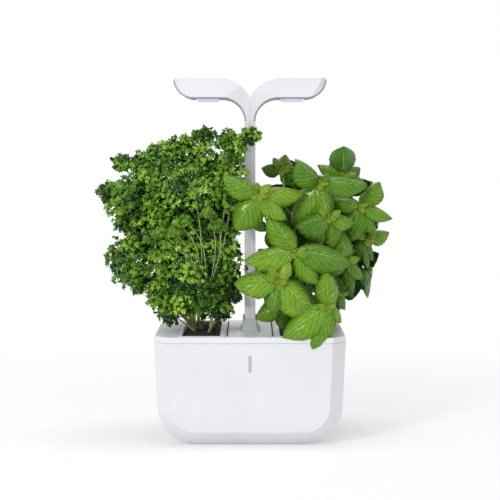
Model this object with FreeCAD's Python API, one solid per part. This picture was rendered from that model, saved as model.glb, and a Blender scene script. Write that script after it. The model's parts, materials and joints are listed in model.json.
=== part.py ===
"""A countertop hydroponic garden: a chamfered water tank, a lid with two grow trays, a two-leaf
lamp on a sliding stem, and a parsley and a basil plant growing in lift-out pods.

Frame: millimetres, +Z up, the front face looks along -Y, the origin is under the middle of the foot.
"""
import FreeCAD
import Part
import math
import os

from FreeCAD import Vector

# Tank
TANK_WIDTH = 226.0  # across the rim
TANK_DEPTH = 170.0
TANK_HEIGHT = 121.0
SIDE_DRAFT = 2.5  # degrees, each side
CORNER_RADIUS = 46.0  # lower corners seen from the front
FACE_CHAMFER = 16.0  # bevel round the front and back faces
TANK_WALL = 2.5
GROUND_GAP = 1.5  # air under the tank floor
NOTCH_CLEARANCE = 0.4  # round the electronics housing in the back wall

# Foot ring
FOOT_WIDTH = 112.0
FOOT_DEPTH = 120.0
FOOT_BAND = 6.0
FOOT_CORNER = 18.0
FOOT_SEAT = 1.0  # how deep the ring sits in the tank floor

# Plain badge on the front face
BADGE_WIDTH = 3.6
BADGE_LENGTH = 20.0
BADGE_BELOW_RIM = 24.0  # rim to badge centre
BADGE_SEAT = 0.8
BADGE_PROUD = 0.2

# Lid
LID_BAND = 7.1
LID_WALL = 2.5
LID_EDGE_BEVEL = 0.9
DECK_THICKNESS = 3.0
SEAM_GAP = 0.6  # height and depth of the shadow line over the tank rim
LIP_LENGTH = 5.0  # locating lip inside the tank
LIP_WALL = 1.8
LIP_CLEARANCE = 0.6
LEDGE_WIDTH = 3.0
LEDGE_THICKNESS = 2.0
LEDGE_ROOT = 2.4  # how far the ledge runs under the deck
LEDGE_END_GAP = 2.0  # between a ledge end and the end of the cover opening

# Centre cover
COVER_WIDTH = 52.4
COVER_END_MARGIN = 14.5  # tank end to cover end, before the cover's shift
COVER_DEPTH = TANK_DEPTH - 2 * COVER_END_MARGIN
COVER_SHIFT = 0.5  # cover centre behind the tank centre
SIDE_SLOT = 1.8  # dark line each side of the cover
END_GAP = 0.4
SEAL_CLEARANCE = 0.2
SEAL_HEIGHT = 1.4

# Grow trays
TRAY_CENTRE = 57.8  # tray centre from the middle of the lid
TRAY_MOUTH_WIDTH = 45.2
TRAY_END_MARGIN = 13.0  # tank end to tray mouth
TRAY_MOUTH_DEPTH = TANK_DEPTH - 2 * TRAY_END_MARGIN
TRAY_MOUTH_CORNER = 3.0
TRAY_RIM = 5.6  # width of the white frame
TRAY_RIM_THICKNESS = 2.0
TRAY_RIM_PROUD = 0.5
TRAY_WALL = 1.8
TRAY_HEIGHT = 57.0  # under the rim
TRAY_DRAFT = 1.2  # how much each side leans in over the height
TRAY_CLEARANCE = 0.3
WICK_WIDTH = 20.0
WICK_THICKNESS = 3.0
WICK_TAB = 14.0  # folded top lying on the tray floor
WICK_TAB_THICKNESS = 1.0
WICK_GROUND = 8.0  # wick end above the ground
WICK_CLEARANCE = 0.2
MAT_THICKNESS = 3.0
MAT_CLEARANCE = 0.5
DRAIN_WIDTH = 3.0
DRAIN_LENGTH = 12.0
DRAIN_COUNT = 4

# Pods
POD_CLEARANCE = 0.6
POD_WALL = 1.0
POD_BELOW_RIM = 3.0  # soil edge under the tray rim
POD_DRAIN_LENGTH = 16.0
POD_DRAIN_COUNT = 5
SOIL_BELOW_POD = 1.0
SOIL_MOUND = 2.4
SOIL_EDGE = 1.0  # level rim round the mound
SOIL_MOUND_SLOPE = 9.0
SOIL_CLEARANCE = 0.1

# Filler flap in front of the foot
FLAP_WIDTH = 32.5
FLAP_FRONT_MARGIN = 3.0  # cover edge to flap
FLAP_REAR_MARGIN = 6.0  # flap to the lamp foot's flare
FLAP_THICKNESS = 2.4
FLAP_CLEARANCE = 0.3
FLAP_LEDGE = 2.8
FLAP_FRAME = 3.2
FLAP_NOTCH = 3.0
FLAP_KNUCKLE = 8.0
FLAP_KNUCKLE_CENTRE = 9.0
HINGE_RADIUS = 1.5
HINGE_PIN_RADIUS = 0.8
HINGE_BORE_CLEARANCE = 0.1
HINGE_LUG = 3.0

# Lamp foot, well and stem
STEM_WIDTH = 13.0
STEM_DEPTH = 52.0
STEM_WALL = 1.6
STEM_EDGE = 0.8
STEM_INNER_EDGE = 0.4
STEM_BELOW_DECK = 25.0  # stem end under the deck with the lamp up
STEM_SEAM = 0.35
FOOT_BASE_MARGIN = 6.0  # flare past the stem, each side
FOOT_COLLAR_WALL = 2.3
FOOT_HEIGHT = 14.8
FOOT_FLARE = 4.8
FOOT_LIP = 1.0
FLARE_CORNER = 3.0  # plan corners of the flare
FLARE_STEPS = 3
COLLAR_CORNER = 2.2
COLLAR_TAPER = 0.5  # how much the collar narrows to its top, each side
PEG_WIDTH = 2.6
PEG_CLEARANCE = 0.05
GLIDE_THICKNESS = 1.05
GLIDE_PROUD = 0.15
GLIDE_LENGTH = 24.0
GLIDE_HEIGHT = 8.0
STEM_CLEARANCE = 0.25
SHOE_WALL = 0.95
SHOE_HEIGHT = 20.0
SHOE_FIT = 0.05
SHOE_CORNER = 1.2
WELL_WALL = 1.6
WELL_FLOOR_Z = 12.0
WELL_CORNER = 2.4
WELL_FLANGE = 2.0
FLANGE_WIDTH = 40.0
FLANGE_DEPTH = 64.0
CONDUIT_WIDTH = 6.0
CONDUIT_DEPTH = 5.0
LOW_WINDOW = 15.0  # height of the opening between cable way and well
CUT_THROUGH = 1.0  # how far a cutting piece runs past a wall
END_PLATE = 2.0
END_PLATE_CLEARANCE = 0.1
LEAD_WIDTH = 4.0  # flat lead
LEAD_THICKNESS = 2.0
LEAD_BEND = 2.0
COIL_RADIUS = 5.0
COIL_Y = 12.0
LAMP_CORE_RADIUS = 2.5
BRANCH_WIDTH = 5.0
BRANCH_THICKNESS = 0.8
BRANCH_BEND = 16.0
BRANCH_GAP = 0.2  # between the two branches

# Lamp
LAMP_RISE = 304.7  # deck to lamp top
LAMP_HALF_SPAN = 92.0
ARM_THICKNESS = 24.8
ARM_DEPTH = 64.0  # front to back along the underside
ARM_TOP_DEPTH = 49.0
ARM_WALL = 2.0
UNDER_BEND = 27.0
TOP_BEND = 42.5
TOP_BEND_START = 38.0
TIP_LIP_ANGLE = 84.0
TIP_NARROWING = 14.0
TIP_ROUNDING = 0.26  # share of the narrowing reached half way along the tip
TIP_RAKE = 0.2
UNDERSIDE_THICKNESS = 1.6
UNDERSIDE_INSET = 0.5
LENS_WIDTH = 29.0
LENS_DEPTH = 46.0
LENS_CORNER = 7.0
LENS_BULGE = 2.8
LENS_BEVEL = 2.4
LENS_WALL = 1.4
LENS_CENTRE = 51.0
LENS_CLEARANCE = 0.2
LENS_SHOULDER = 1.5
LENS_HEIGHT = 4.8
BOARD_THICKNESS = 1.2
LED_WIDTH = 3.0
LED_HEIGHT = 0.8
LED_COLUMNS = 3
LED_ROWS = 5
SINK_BASE = 2.0
SINK_FIN_HEIGHT = 6.0
SINK_FIN_THICKNESS = 1.2
SINK_FINS = 6

# Electronics housing at the back of the lid
HOUSING_WIDTH = 32.0
HOUSING_WALL = 1.8
HOUSING_HEIGHT = 19.6
HOUSING_WELL_GAP = 0.4
HOUSING_NOSE_SETBACK = 0.2
CABLE_DOOR = 5.0
PCB_WIDTH = 26.0
PCB_LENGTH = 40.0
PCB_THICKNESS = 1.6
PCB_POST = 1.5
PCB_POST_WIDTH = 3.6
PCB_BACK_GAP = 1.2
PLUG_WIDTH = 7.0  # lead plug on the board
PLUG_LENGTH = 5.0
PLUG_HEIGHT = 5.6
PLUG_SETBACK = 1.2  # from the front edge of the board
DOOR_ABOVE_BOARD = 1.0
JACK_WIDTH = 9.0
JACK_HEIGHT = 9.4
JACK_LENGTH = 12.0
JACK_BARREL_RADIUS = 3.8
JACK_BORE_RADIUS = 2.85
JACK_BORE_DEPTH = 9.0
JACK_PIN_RADIUS = 1.05
JACK_PIN_SETBACK = 0.8
JACK_CLEARANCE = 0.1

# Light button behind the foot
BUTTON_MARGIN = 17.0  # cover's back edge to the button's centre
BUTTON_RADIUS = 5.3
BUTTON_CLEARANCE = 0.3
BUTTON_PRESSED_PROUD = 0.2  # what stays above the cover when pressed
BUTTON_BEVEL = 0.6
BUTTON_FLANGE_WIDTH = 13.6
BUTTON_FLANGE = 1.0
BUTTON_TRAVEL = 1.0
BUTTON_STALK = 2.6
DOME_WIDTH = 8.0
DOME_TOP_WIDTH = 4.4
DOME_HEIGHT = 3.4
TOUCH_GAP = 0.1
BUTTON_PROUD = BUTTON_TRAVEL + BUTTON_PRESSED_PROUD

# Plants
LEAF_THICKNESS = 1.5
LEAF_RIBS = ((0.3, 0.47), (0.65, 0.4))  # places along a leaf and half widths there, as shares
LEAF_CUP = 0.12  # how far the edges rise, as a share of the width
LEAF_ARCH = 0.16  # how far the tip drops, as a share of the length
SHOOT_RADIUS = 1.9
STALK_RADIUS = 1.2
FROND_RADIUS = 17.0
FROND_THICKNESS = 5.0
FROND_DROOP = 0.22  # how far the tips bend back, as a share of the radius
FROND_POINTS = 3
FROND_NOTCH = 0.62  # radius between the points, as a share
FROND_LIFT = 0.35  # how far a frond looks up
FROND_TWIG = 0.6  # twig radius against the stalk
LOBE_HEART = 0.4  # where a lobe's stalk ends, as a share of its half height under the centre
LOBE_HIDDEN = 0.8  # fronds this deep in a neighbour are left out
ROOT_REACH_X = 0.75  # how much of the soil's level top the roots use
ROOT_REACH_Y = 0.85
ROOT_PULL_X = 0.3  # how far a root follows its shoot
ROOT_PULL_Y = 0.6
STALK_LEAN = 0.8
STALK_BOW = 0.12
STALK_SPLIT_Z = 12.0  # where stalks pass into foliage, above the soil
STALK_SIDES = 3

# Levels and places worked out from the sizes above
TANK_BOTTOM = GROUND_GAP
RIM_Z = TANK_BOTTOM + TANK_HEIGHT
DECK_Z = RIM_Z + LID_BAND
DECK_UNDER = DECK_Z - DECK_THICKNESS
LEDGE_Z = DECK_UNDER - LEDGE_THICKNESS
DRAFT = math.radians(SIDE_DRAFT)
HALF_WIDTH = TANK_WIDTH / 2
HALF_DEPTH = TANK_DEPTH / 2
CORNER_Z = TANK_BOTTOM + CORNER_RADIUS
CORNER_X = HALF_WIDTH - (RIM_Z - CORNER_Z) * math.tan(DRAFT) - CORNER_RADIUS / math.cos(DRAFT)
TRAY_TOP = DECK_Z + TRAY_RIM_PROUD
TRAY_SEAT = TRAY_TOP - TRAY_RIM_THICKNESS
TRAY_FLOOR_Z = TRAY_SEAT - TRAY_HEIGHT
MAT_Z = TRAY_FLOOR_Z + TRAY_WALL + WICK_TAB_THICKNESS
POD_Z = MAT_Z + MAT_THICKNESS
POD_TOP = TRAY_TOP - POD_BELOW_RIM
SOIL_TOP = POD_TOP - SOIL_BELOW_POD
STALK_TOP = SOIL_TOP + STALK_SPLIT_Z
FLAP_FRONT = COVER_DEPTH / 2 - COVER_SHIFT - FLAP_FRONT_MARGIN
FLAP_REAR = STEM_DEPTH / 2 + FOOT_BASE_MARGIN + FLAP_REAR_MARGIN
HINGE_Y = -(FLAP_REAR + HINGE_RADIUS)
HINGE_Z = DECK_Z - HINGE_RADIUS
STEM_BOTTOM = DECK_Z - STEM_BELOW_DECK
WELL_GAP = STEM_CLEARANCE + SHOE_WALL
WELL_INNER_WIDTH = STEM_WIDTH + 2 * WELL_GAP
WELL_INNER_DEPTH = STEM_DEPTH + 2 * WELL_GAP
WELL_WIDTH = WELL_INNER_WIDTH + 2 * WELL_WALL
WELL_DEPTH = WELL_INNER_DEPTH + 2 * WELL_WALL
CONDUIT_Y = WELL_DEPTH / 2 + CONDUIT_DEPTH
LAMP_TOP = DECK_Z + LAMP_RISE
LAMP_UNDER = LAMP_TOP - ARM_THICKNESS
BEND_Z = LAMP_UNDER - UNDER_BEND
BEND_X = STEM_WIDTH / 2 + UNDER_BEND
TIP_X = LAMP_HALF_SPAN - ARM_THICKNESS
TOP_BEND_Z = LAMP_TOP - TOP_BEND
VALLEY_Z = TOP_BEND_Z + math.sqrt(TOP_BEND ** 2 - TOP_BEND_START ** 2)
BOARD_Z = LAMP_UNDER + LENS_HEIGHT
SINK_Z = BOARD_Z + BOARD_THICKNESS
HOUSING_Z = DECK_UNDER - HOUSING_HEIGHT
HOUSING_Y = CONDUIT_Y + WELL_WALL + HOUSING_WELL_GAP
HOUSING_BACK = HALF_DEPTH - HOUSING_NOSE_SETBACK
HOUSING_SHOULDER = HALF_DEPTH - LID_WALL - NOTCH_CLEARANCE
PCB_Z = HOUSING_Z + HOUSING_WALL + PCB_POST
PCB_TOP = PCB_Z + PCB_THICKNESS
PCB_BACK = HOUSING_BACK - HOUSING_WALL - PCB_BACK_GAP
PLUG_Y = PCB_BACK - PCB_LENGTH + PLUG_SETBACK
JACK_Z = PCB_TOP + JACK_HEIGHT / 2
JACK_BACK = HOUSING_BACK - HOUSING_WALL
DOOR_Z = PCB_TOP + CABLE_DOOR / 2 + DOOR_ABOVE_BOARD
BUTTON_Y = COVER_SHIFT + COVER_DEPTH / 2 - BUTTON_MARGIN
BUTTON_FLANGE_Z = DECK_UNDER - TOUCH_GAP - BUTTON_FLANGE
PEG_Y = STEM_DEPTH / 2 + (STEM_CLEARANCE + FOOT_BASE_MARGIN) / 2
LEAD_FLOOR_Z = WELL_FLOOR_Z + WELL_WALL + LEAD_THICKNESS


# Plain building blocks

def block(x0, x1, y0, y1, z0, z1):
    """A box between two corners."""
    return Part.makeBox(x1 - x0, y1 - y0, z1 - z0, Vector(x0, y0, z0))


def rod(radius, start, end):
    """A cylinder from one point to another."""
    return Part.makeCylinder(radius, (end - start).Length, start, end - start)


def closed(points):
    """The points with the first one again at the end."""
    return points + points[:1]


def rounded_wire(width, depth, corner, centre, z):
    """A rounded rectangle in a level plane."""
    cx, cy = centre
    hx = width / 2
    hy = depth / 2
    reach = math.sqrt(0.5) * corner
    edges = []
    quarters = ((1, -1), (1, 1), (-1, 1), (-1, -1))
    for index, (sx, sy) in enumerate(quarters):
        mx = cx + sx * (hx - corner)
        my = cy + sy * (hy - corner)
        on_x = Vector(mx + sx * corner, my, z)
        on_y = Vector(mx, my + sy * corner, z)
        first, last = (on_y, on_x) if sx * sy < 0 else (on_x, on_y)
        edges.append(Part.Arc(first, Vector(mx + sx * reach, my + sy * reach, z), last).toShape())
        nx, ny = quarters[(index + 1) % 4]
        if sx == nx:
            nxt = Vector(mx + sx * corner, cy + ny * (hy - corner), z)
        else:
            nxt = Vector(cx + nx * (hx - corner), my + sy * corner, z)
        edges.append(Part.makeLine(last, nxt))
    return Part.Wire(edges)


def bevelled_wire(width, depth, corner, centre, z):
    """A rectangle in a level plane whose cut corners touch a rounding of the given radius."""
    cx, cy = centre
    hx = width / 2
    hy = depth / 2
    cut = corner * (2 - math.sqrt(2))
    if cut == 0:
        quarter = [(hx, hy)]
    else:
        quarter = [(hx, hy - cut), (hx - cut, hy)]
    plan = quarter + [(-x, y) for x, y in reversed(quarter)]
    plan += [(-x, -y) for x, y in plan]
    return Part.makePolygon(closed([Vector(cx + x, cy + y, z) for x, y in plan]))


def rounded_block(width, depth, corner, z0, z1, centre=(0.0, 0.0)):
    """An upright block with rounded vertical edges."""
    face = Part.Face(rounded_wire(width, depth, corner, centre, z0))
    return face.extrude(Vector(0, 0, z1 - z0))


def bevelled_block(width, depth, corner, z0, z1, centre=(0.0, 0.0)):
    """An upright block with cut vertical edges."""
    face = Part.Face(bevelled_wire(width, depth, corner, centre, z0))
    return face.extrude(Vector(0, 0, z1 - z0))


def tapered_block(sections, centre=(0.0, 0.0)):
    """A block with cut corners lofted through (width, depth, corner, z) sections."""
    wires = [bevelled_wire(w, d, r, centre, z) for w, d, r, z in sections]
    return Part.makeLoft(wires, True, True)


def joined(pieces):
    """Pieces that touch or overlap, as one solid."""
    whole = pieces[0]
    if len(pieces) > 1:
        whole = whole.multiFuse(pieces[1:])
    return whole.removeSplitter()


def mirrored(shape):
    """The same piece on the other side of the middle plane."""
    return shape.mirror(Vector(0, 0, 0), Vector(1, 0, 0))


def save(name, shape):
    """Write one node, checked to hold only closed solids."""
    for solid in shape.Solids:
        if not solid.isValid() or solid.Volume <= 0:
            raise ValueError(f"{name} holds an open or turned solid")
    Part.Compound(shape.Solids).exportStep(os.path.join("parts", name + ".step"))
    print(f"{name}: {len(shape.Solids)} solids, {sum(s.Volume for s in shape.Solids) / 1000:.1f} cm3")


# Tank

def tank_outline(inset, y):
    """The U-shaped front outline at depth y, drawn the given distance inside the outer skin."""
    radius = CORNER_RADIUS - inset
    top_x = HALF_WIDTH - inset / math.cos(DRAFT)
    low_z = TANK_BOTTOM + inset
    middle = -(math.pi / 2 + DRAFT) / 2

    def corner_point(angle, side):
        x = CORNER_X + radius * math.cos(angle)
        return Vector(side * x, y, CORNER_Z + radius * math.sin(angle))

    right_top = Vector(top_x, y, RIM_Z)
    left_top = Vector(-top_x, y, RIM_Z)
    right_side = corner_point(-DRAFT, 1)
    left_side = corner_point(-DRAFT, -1)
    right_low = Vector(CORNER_X, y, low_z)
    left_low = Vector(-CORNER_X, y, low_z)
    edges = [
        Part.makeLine(right_top, right_side),
        Part.Arc(right_side, corner_point(middle, 1), right_low).toShape(),
        Part.makeLine(right_low, left_low),
        Part.Arc(left_low, corner_point(middle, -1), left_side).toShape(),
        Part.makeLine(left_side, left_top),
        Part.makeLine(left_top, right_top),
    ]
    return Part.Wire(edges)


def bevelled_body(skin):
    """The faceted tank form, drawn the given distance inside the outer skin on every face."""
    face_y = HALF_DEPTH - skin
    body = Part.Face(tank_outline(skin, -face_y)).extrude(Vector(0, 2 * face_y, 0))
    outline = [e for e in body.Edges if e.BoundBox.YLength < 0.01 and e.BoundBox.ZMin < RIM_Z - 0.01]
    return body.makeChamfer(FACE_CHAMFER - skin * (2 - math.sqrt(2)), outline)


def foot_ring_solid(z0, z1):
    """The ring under the tank between two levels."""
    outer = bevelled_block(FOOT_WIDTH, FOOT_DEPTH, FOOT_CORNER, z0, z1)
    inner_corner = FOOT_CORNER - FOOT_BAND
    inner = bevelled_block(FOOT_WIDTH - 2 * FOOT_BAND, FOOT_DEPTH - 2 * FOOT_BAND, inner_corner, z0, z1)
    return outer.cut(inner)


def badge_solid(y0, y1):
    """A plain upright capsule between two depths on the front face."""
    radius = BADGE_WIDTH / 2
    centre_z = RIM_Z - BADGE_BELOW_RIM
    half = BADGE_LENGTH / 2 - radius
    bar = block(-radius, radius, y0, y1, centre_z - half, centre_z + half)
    ends = [rod(radius, Vector(0, y0, z), Vector(0, y1, z)) for z in (centre_z - half, centre_z + half)]
    return joined([bar] + ends)


def make_tank():
    """The one-piece water tank: bevelled shell, foot groove, badge seat and back notch."""
    shell = bevelled_body(0.0).cut(bevelled_body(TANK_WALL))
    shell = shell.cut(foot_ring_solid(TANK_BOTTOM, TANK_BOTTOM + FOOT_SEAT))
    shell = shell.cut(badge_solid(-HALF_DEPTH, -HALF_DEPTH + BADGE_SEAT))
    notch_x = HOUSING_WIDTH / 2 + NOTCH_CLEARANCE
    notch_y = HALF_DEPTH - 2 * TANK_WALL
    notch = block(-notch_x, notch_x, notch_y, HALF_DEPTH, HOUSING_Z - NOTCH_CLEARANCE, RIM_Z)
    return shell.cut(notch)


def make_foot_ring():
    """The rubber ring that the garden stands on."""
    return foot_ring_solid(0.0, TANK_BOTTOM + FOOT_SEAT)


def make_badge():
    """The plain satin badge set into the front face."""
    return badge_solid(-HALF_DEPTH - BADGE_PROUD, -HALF_DEPTH + BADGE_SEAT)


# Lid

def lid_outline(inset, z):
    """The eight-sided plan of tank and lid, drawn the given distance inside the edge."""
    x = HALF_WIDTH - inset
    y = HALF_DEPTH - inset
    diagonal = HALF_WIDTH + HALF_DEPTH - FACE_CHAMFER - inset * math.sqrt(2)
    quarter = [(x, diagonal - x), (diagonal - y, y)]
    points = quarter + [(-px, py) for px, py in reversed(quarter)]
    points += [(-px, -py) for px, py in points]
    return Part.makePolygon([Vector(px, py, z) for px, py in points + points[:1]])


def lid_prism(inset, z0, z1):
    """A straight block of the lid's plan between two levels."""
    return Part.Face(lid_outline(inset, z0)).extrude(Vector(0, 0, z1 - z0))


def lid_lip(inset, z0, z1):
    """The locating lip's plan, which follows the drafted tank walls."""
    outer = lid_prism(inset, z0, z1)
    return outer.cut(lid_prism(inset + LIP_WALL, z0, z1))


def tray_body(margin, z_top, z_low, side, draft=TRAY_DRAFT):
    """A tapered block that is the tray mouth plus a margin at the rim."""
    corner = max(TRAY_MOUTH_CORNER + margin, 0.5)
    fall = (TRAY_SEAT - z_low) / TRAY_HEIGHT * draft
    rise = (TRAY_SEAT - z_top) / TRAY_HEIGHT * draft
    width = TRAY_MOUTH_WIDTH + 2 * margin
    depth = TRAY_MOUTH_DEPTH + 2 * margin
    sections = [
        (width - 2 * fall, depth - 2 * fall, corner, z_low),
        (width - 2 * rise, depth - 2 * rise, corner, z_top),
    ]
    return tapered_block(sections, (side * TRAY_CENTRE, 0.0))


def make_lid_deck():
    """The lid shell: deck, side band, locating lip, cover ledges and the openings in it."""
    band = lid_prism(0.0, RIM_Z + SEAM_GAP, DECK_Z)
    top_edges = [e for e in band.Edges if e.BoundBox.ZMin > DECK_Z - 0.01]
    band = band.makeChamfer(LID_EDGE_BEVEL, top_edges)
    foot = lid_prism(SEAM_GAP, RIM_Z, RIM_Z + SEAM_GAP)
    hollow = lid_prism(LID_WALL, RIM_Z, DECK_UNDER)
    lip_inset = TANK_WALL + LIP_CLEARANCE
    lip = lid_lip(lip_inset, RIM_Z - LIP_LENGTH, DECK_UNDER)
    deck = joined([band, foot]).cut(hollow)
    cover_x = COVER_WIDTH / 2 + SIDE_SLOT
    cover_y = COVER_DEPTH / 2 + END_GAP
    y0 = COVER_SHIFT - cover_y
    y1 = COVER_SHIFT + cover_y
    ledges = []
    for side in (-1, 1):
        inner = side * (cover_x - LEDGE_WIDTH)
        outer = side * (cover_x + LEDGE_ROOT)
        x0, x1 = sorted((inner, outer))
        ledges.append(block(x0, x1, y0 + LEDGE_END_GAP, y1 - LEDGE_END_GAP, LEDGE_Z, DECK_UNDER))
    tools = [block(-cover_x, cover_x, y0, y1, DECK_UNDER, DECK_Z)]
    for side in (-1, 1):
        centre = (side * TRAY_CENTRE, 0.0)
        rim_width = TRAY_MOUTH_WIDTH + 2 * (TRAY_RIM + TRAY_CLEARANCE)
        rim_depth = TRAY_MOUTH_DEPTH + 2 * (TRAY_RIM + TRAY_CLEARANCE)
        rim_corner = TRAY_MOUTH_CORNER + TRAY_CLEARANCE
        tools.append(rounded_block(rim_width, rim_depth, rim_corner, TRAY_SEAT, DECK_Z, centre))
        tools.append(tray_body(TRAY_WALL + TRAY_CLEARANCE, TRAY_SEAT, DECK_UNDER, side, 0.0))
    housing_x = HOUSING_WIDTH / 2 + NOTCH_CLEARANCE
    rear_y = COVER_SHIFT + cover_y
    tools.append(block(-housing_x, housing_x, rear_y, HALF_DEPTH - LID_WALL, RIM_Z - LIP_LENGTH, DECK_UNDER))
    return joined([deck, lip] + ledges).cut(Part.Compound(tools))


def foot_section(margin, z, edge):
    """The stem's plan widened by a margin, as a section at a level."""
    return (STEM_WIDTH + 2 * margin, STEM_DEPTH + 2 * margin, edge, z)


def make_centre_cover():
    """The cover between the trays, with the filler opening, hinge lugs, stem slot and button hole."""
    y0 = COVER_SHIFT - COVER_DEPTH / 2
    y1 = COVER_SHIFT + COVER_DEPTH / 2
    half = COVER_WIDTH / 2
    plate = block(-half, half, y0, y1, DECK_UNDER, DECK_Z)
    pocket_x = FLAP_WIDTH / 2 + FLAP_CLEARANCE
    front = -(FLAP_FRONT + FLAP_CLEARANCE)
    rear = -(FLAP_REAR - FLAP_CLEARANCE)
    plate = plate.cut(block(-pocket_x, pocket_x, front, rear, DECK_UNDER, DECK_Z))
    frame_top = DECK_Z - FLAP_THICKNESS - TOUCH_GAP
    frame_x = pocket_x + FLAP_FRAME
    frame_front = max(y0, front - FLAP_FRAME)
    frame = block(-frame_x, frame_x, frame_front, rear + FLAP_FRAME, LEDGE_Z, DECK_UNDER)
    sill = block(-pocket_x, pocket_x, front, HINGE_Y - HINGE_RADIUS - FLAP_CLEARANCE, LEDGE_Z, frame_top)
    mouth_x = pocket_x - FLAP_LEDGE
    mouth_rear = HINGE_Y - HINGE_RADIUS - FLAP_LEDGE
    mouth = block(-mouth_x, mouth_x, front + FLAP_LEDGE, mouth_rear, LEDGE_Z, DECK_Z)
    trough_front = HINGE_Y - HINGE_RADIUS - FLAP_CLEARANCE
    trough = block(-pocket_x, pocket_x, trough_front, rear, LEDGE_Z, DECK_UNDER)
    frame = joined([frame.cut(trough), sill]).cut(mouth)
    floor_z = HINGE_Z - HINGE_RADIUS - FLAP_CLEARANCE
    trough_floor = block(-pocket_x, pocket_x, trough_front, rear, LEDGE_Z, floor_z)
    lugs = []
    for side in (-1, 1):
        inner = side * (FLAP_KNUCKLE_CENTRE + FLAP_KNUCKLE / 2 + FLAP_CLEARANCE)
        x0, x1 = sorted((inner, side * pocket_x))
        lugs.append(block(x0, x1, HINGE_Y - HINGE_RADIUS, rear, floor_z, HINGE_Z))
        lugs.append(rod(HINGE_RADIUS, Vector(x0, HINGE_Y, HINGE_Z), Vector(x1, HINGE_Y, HINGE_Z)))
    cover = joined([plate, frame, trough_floor] + lugs)
    pin_half = pocket_x + HINGE_LUG
    bore = rod(HINGE_PIN_RADIUS, Vector(-pin_half, HINGE_Y, HINGE_Z), Vector(pin_half, HINGE_Y, HINGE_Z))
    stem_slot = tapered_block([
        foot_section(STEM_CLEARANCE, DECK_UNDER, STEM_EDGE),
        foot_section(STEM_CLEARANCE, DECK_Z, STEM_EDGE),
    ])
    hole_radius = BUTTON_RADIUS + BUTTON_CLEARANCE
    button_hole = rod(hole_radius, Vector(0, BUTTON_Y, DECK_UNDER), Vector(0, BUTTON_Y, DECK_Z))
    holes = foot_pegs(PEG_WIDTH / 2 + PEG_CLEARANCE, DECK_UNDER, DECK_Z)
    return cover.cut(Part.Compound([bore, stem_slot, button_hole] + holes))


def make_light_seals():
    """The dark seal strips in the two gaps beside the centre cover."""
    strips = []
    for side in (-1, 1):
        inner = side * (COVER_WIDTH / 2 + SEAL_CLEARANCE)
        outer = side * (COVER_WIDTH / 2 + SIDE_SLOT - SEAL_CLEARANCE)
        y_half = COVER_DEPTH / 2
        strips.append(block(min(inner, outer), max(inner, outer), COVER_SHIFT - y_half,
                            COVER_SHIFT + y_half, DECK_UNDER, DECK_UNDER + SEAL_HEIGHT))
    return Part.Compound(strips)


def make_filler_flap():
    """The hinged flap over the water filler, with finger notches in its front corners."""
    half = FLAP_WIDTH / 2
    z0 = DECK_Z - FLAP_THICKNESS
    lug_room = FLAP_KNUCKLE_CENTRE + FLAP_KNUCKLE / 2
    plate = block(-half, half, -FLAP_FRONT, HINGE_Y - HINGE_RADIUS - FLAP_CLEARANCE, z0, DECK_Z)
    knuckles = []
    for side in (-1, 1):
        x0 = side * FLAP_KNUCKLE_CENTRE - FLAP_KNUCKLE / 2
        x1 = x0 + FLAP_KNUCKLE
        knuckles.append(rod(HINGE_RADIUS, Vector(x0, HINGE_Y, HINGE_Z), Vector(x1, HINGE_Y, HINGE_Z)))
        knuckles.append(block(x0, x1, HINGE_Y - HINGE_RADIUS - 2 * FLAP_CLEARANCE, HINGE_Y, HINGE_Z, DECK_Z))
    flap = joined([plate] + knuckles)
    notches = []
    for side in (-1, 1):
        corner = Vector(side * half, -FLAP_FRONT, z0)
        notches.append(rod(FLAP_NOTCH, corner, corner + Vector(0, 0, FLAP_THICKNESS)))
    bore_radius = HINGE_PIN_RADIUS + HINGE_BORE_CLEARANCE
    notches.append(rod(bore_radius, Vector(-lug_room, HINGE_Y, HINGE_Z), Vector(lug_room, HINGE_Y, HINGE_Z)))
    return flap.cut(Part.Compound(notches))


def make_flap_pin():
    """The steel pin held in the cover's lugs, on which the flap turns."""
    half = FLAP_WIDTH / 2 + FLAP_CLEARANCE + HINGE_LUG
    return rod(HINGE_PIN_RADIUS, Vector(-half, HINGE_Y, HINGE_Z), Vector(half, HINGE_Y, HINGE_Z))


# Trays, wicks and pods

def drain_slot(x, y, length, z0, z1):
    """A drain slot across a floor."""
    return block(x - length / 2, x + length / 2, y - DRAIN_WIDTH / 2, y + DRAIN_WIDTH / 2, z0, z1)


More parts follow.
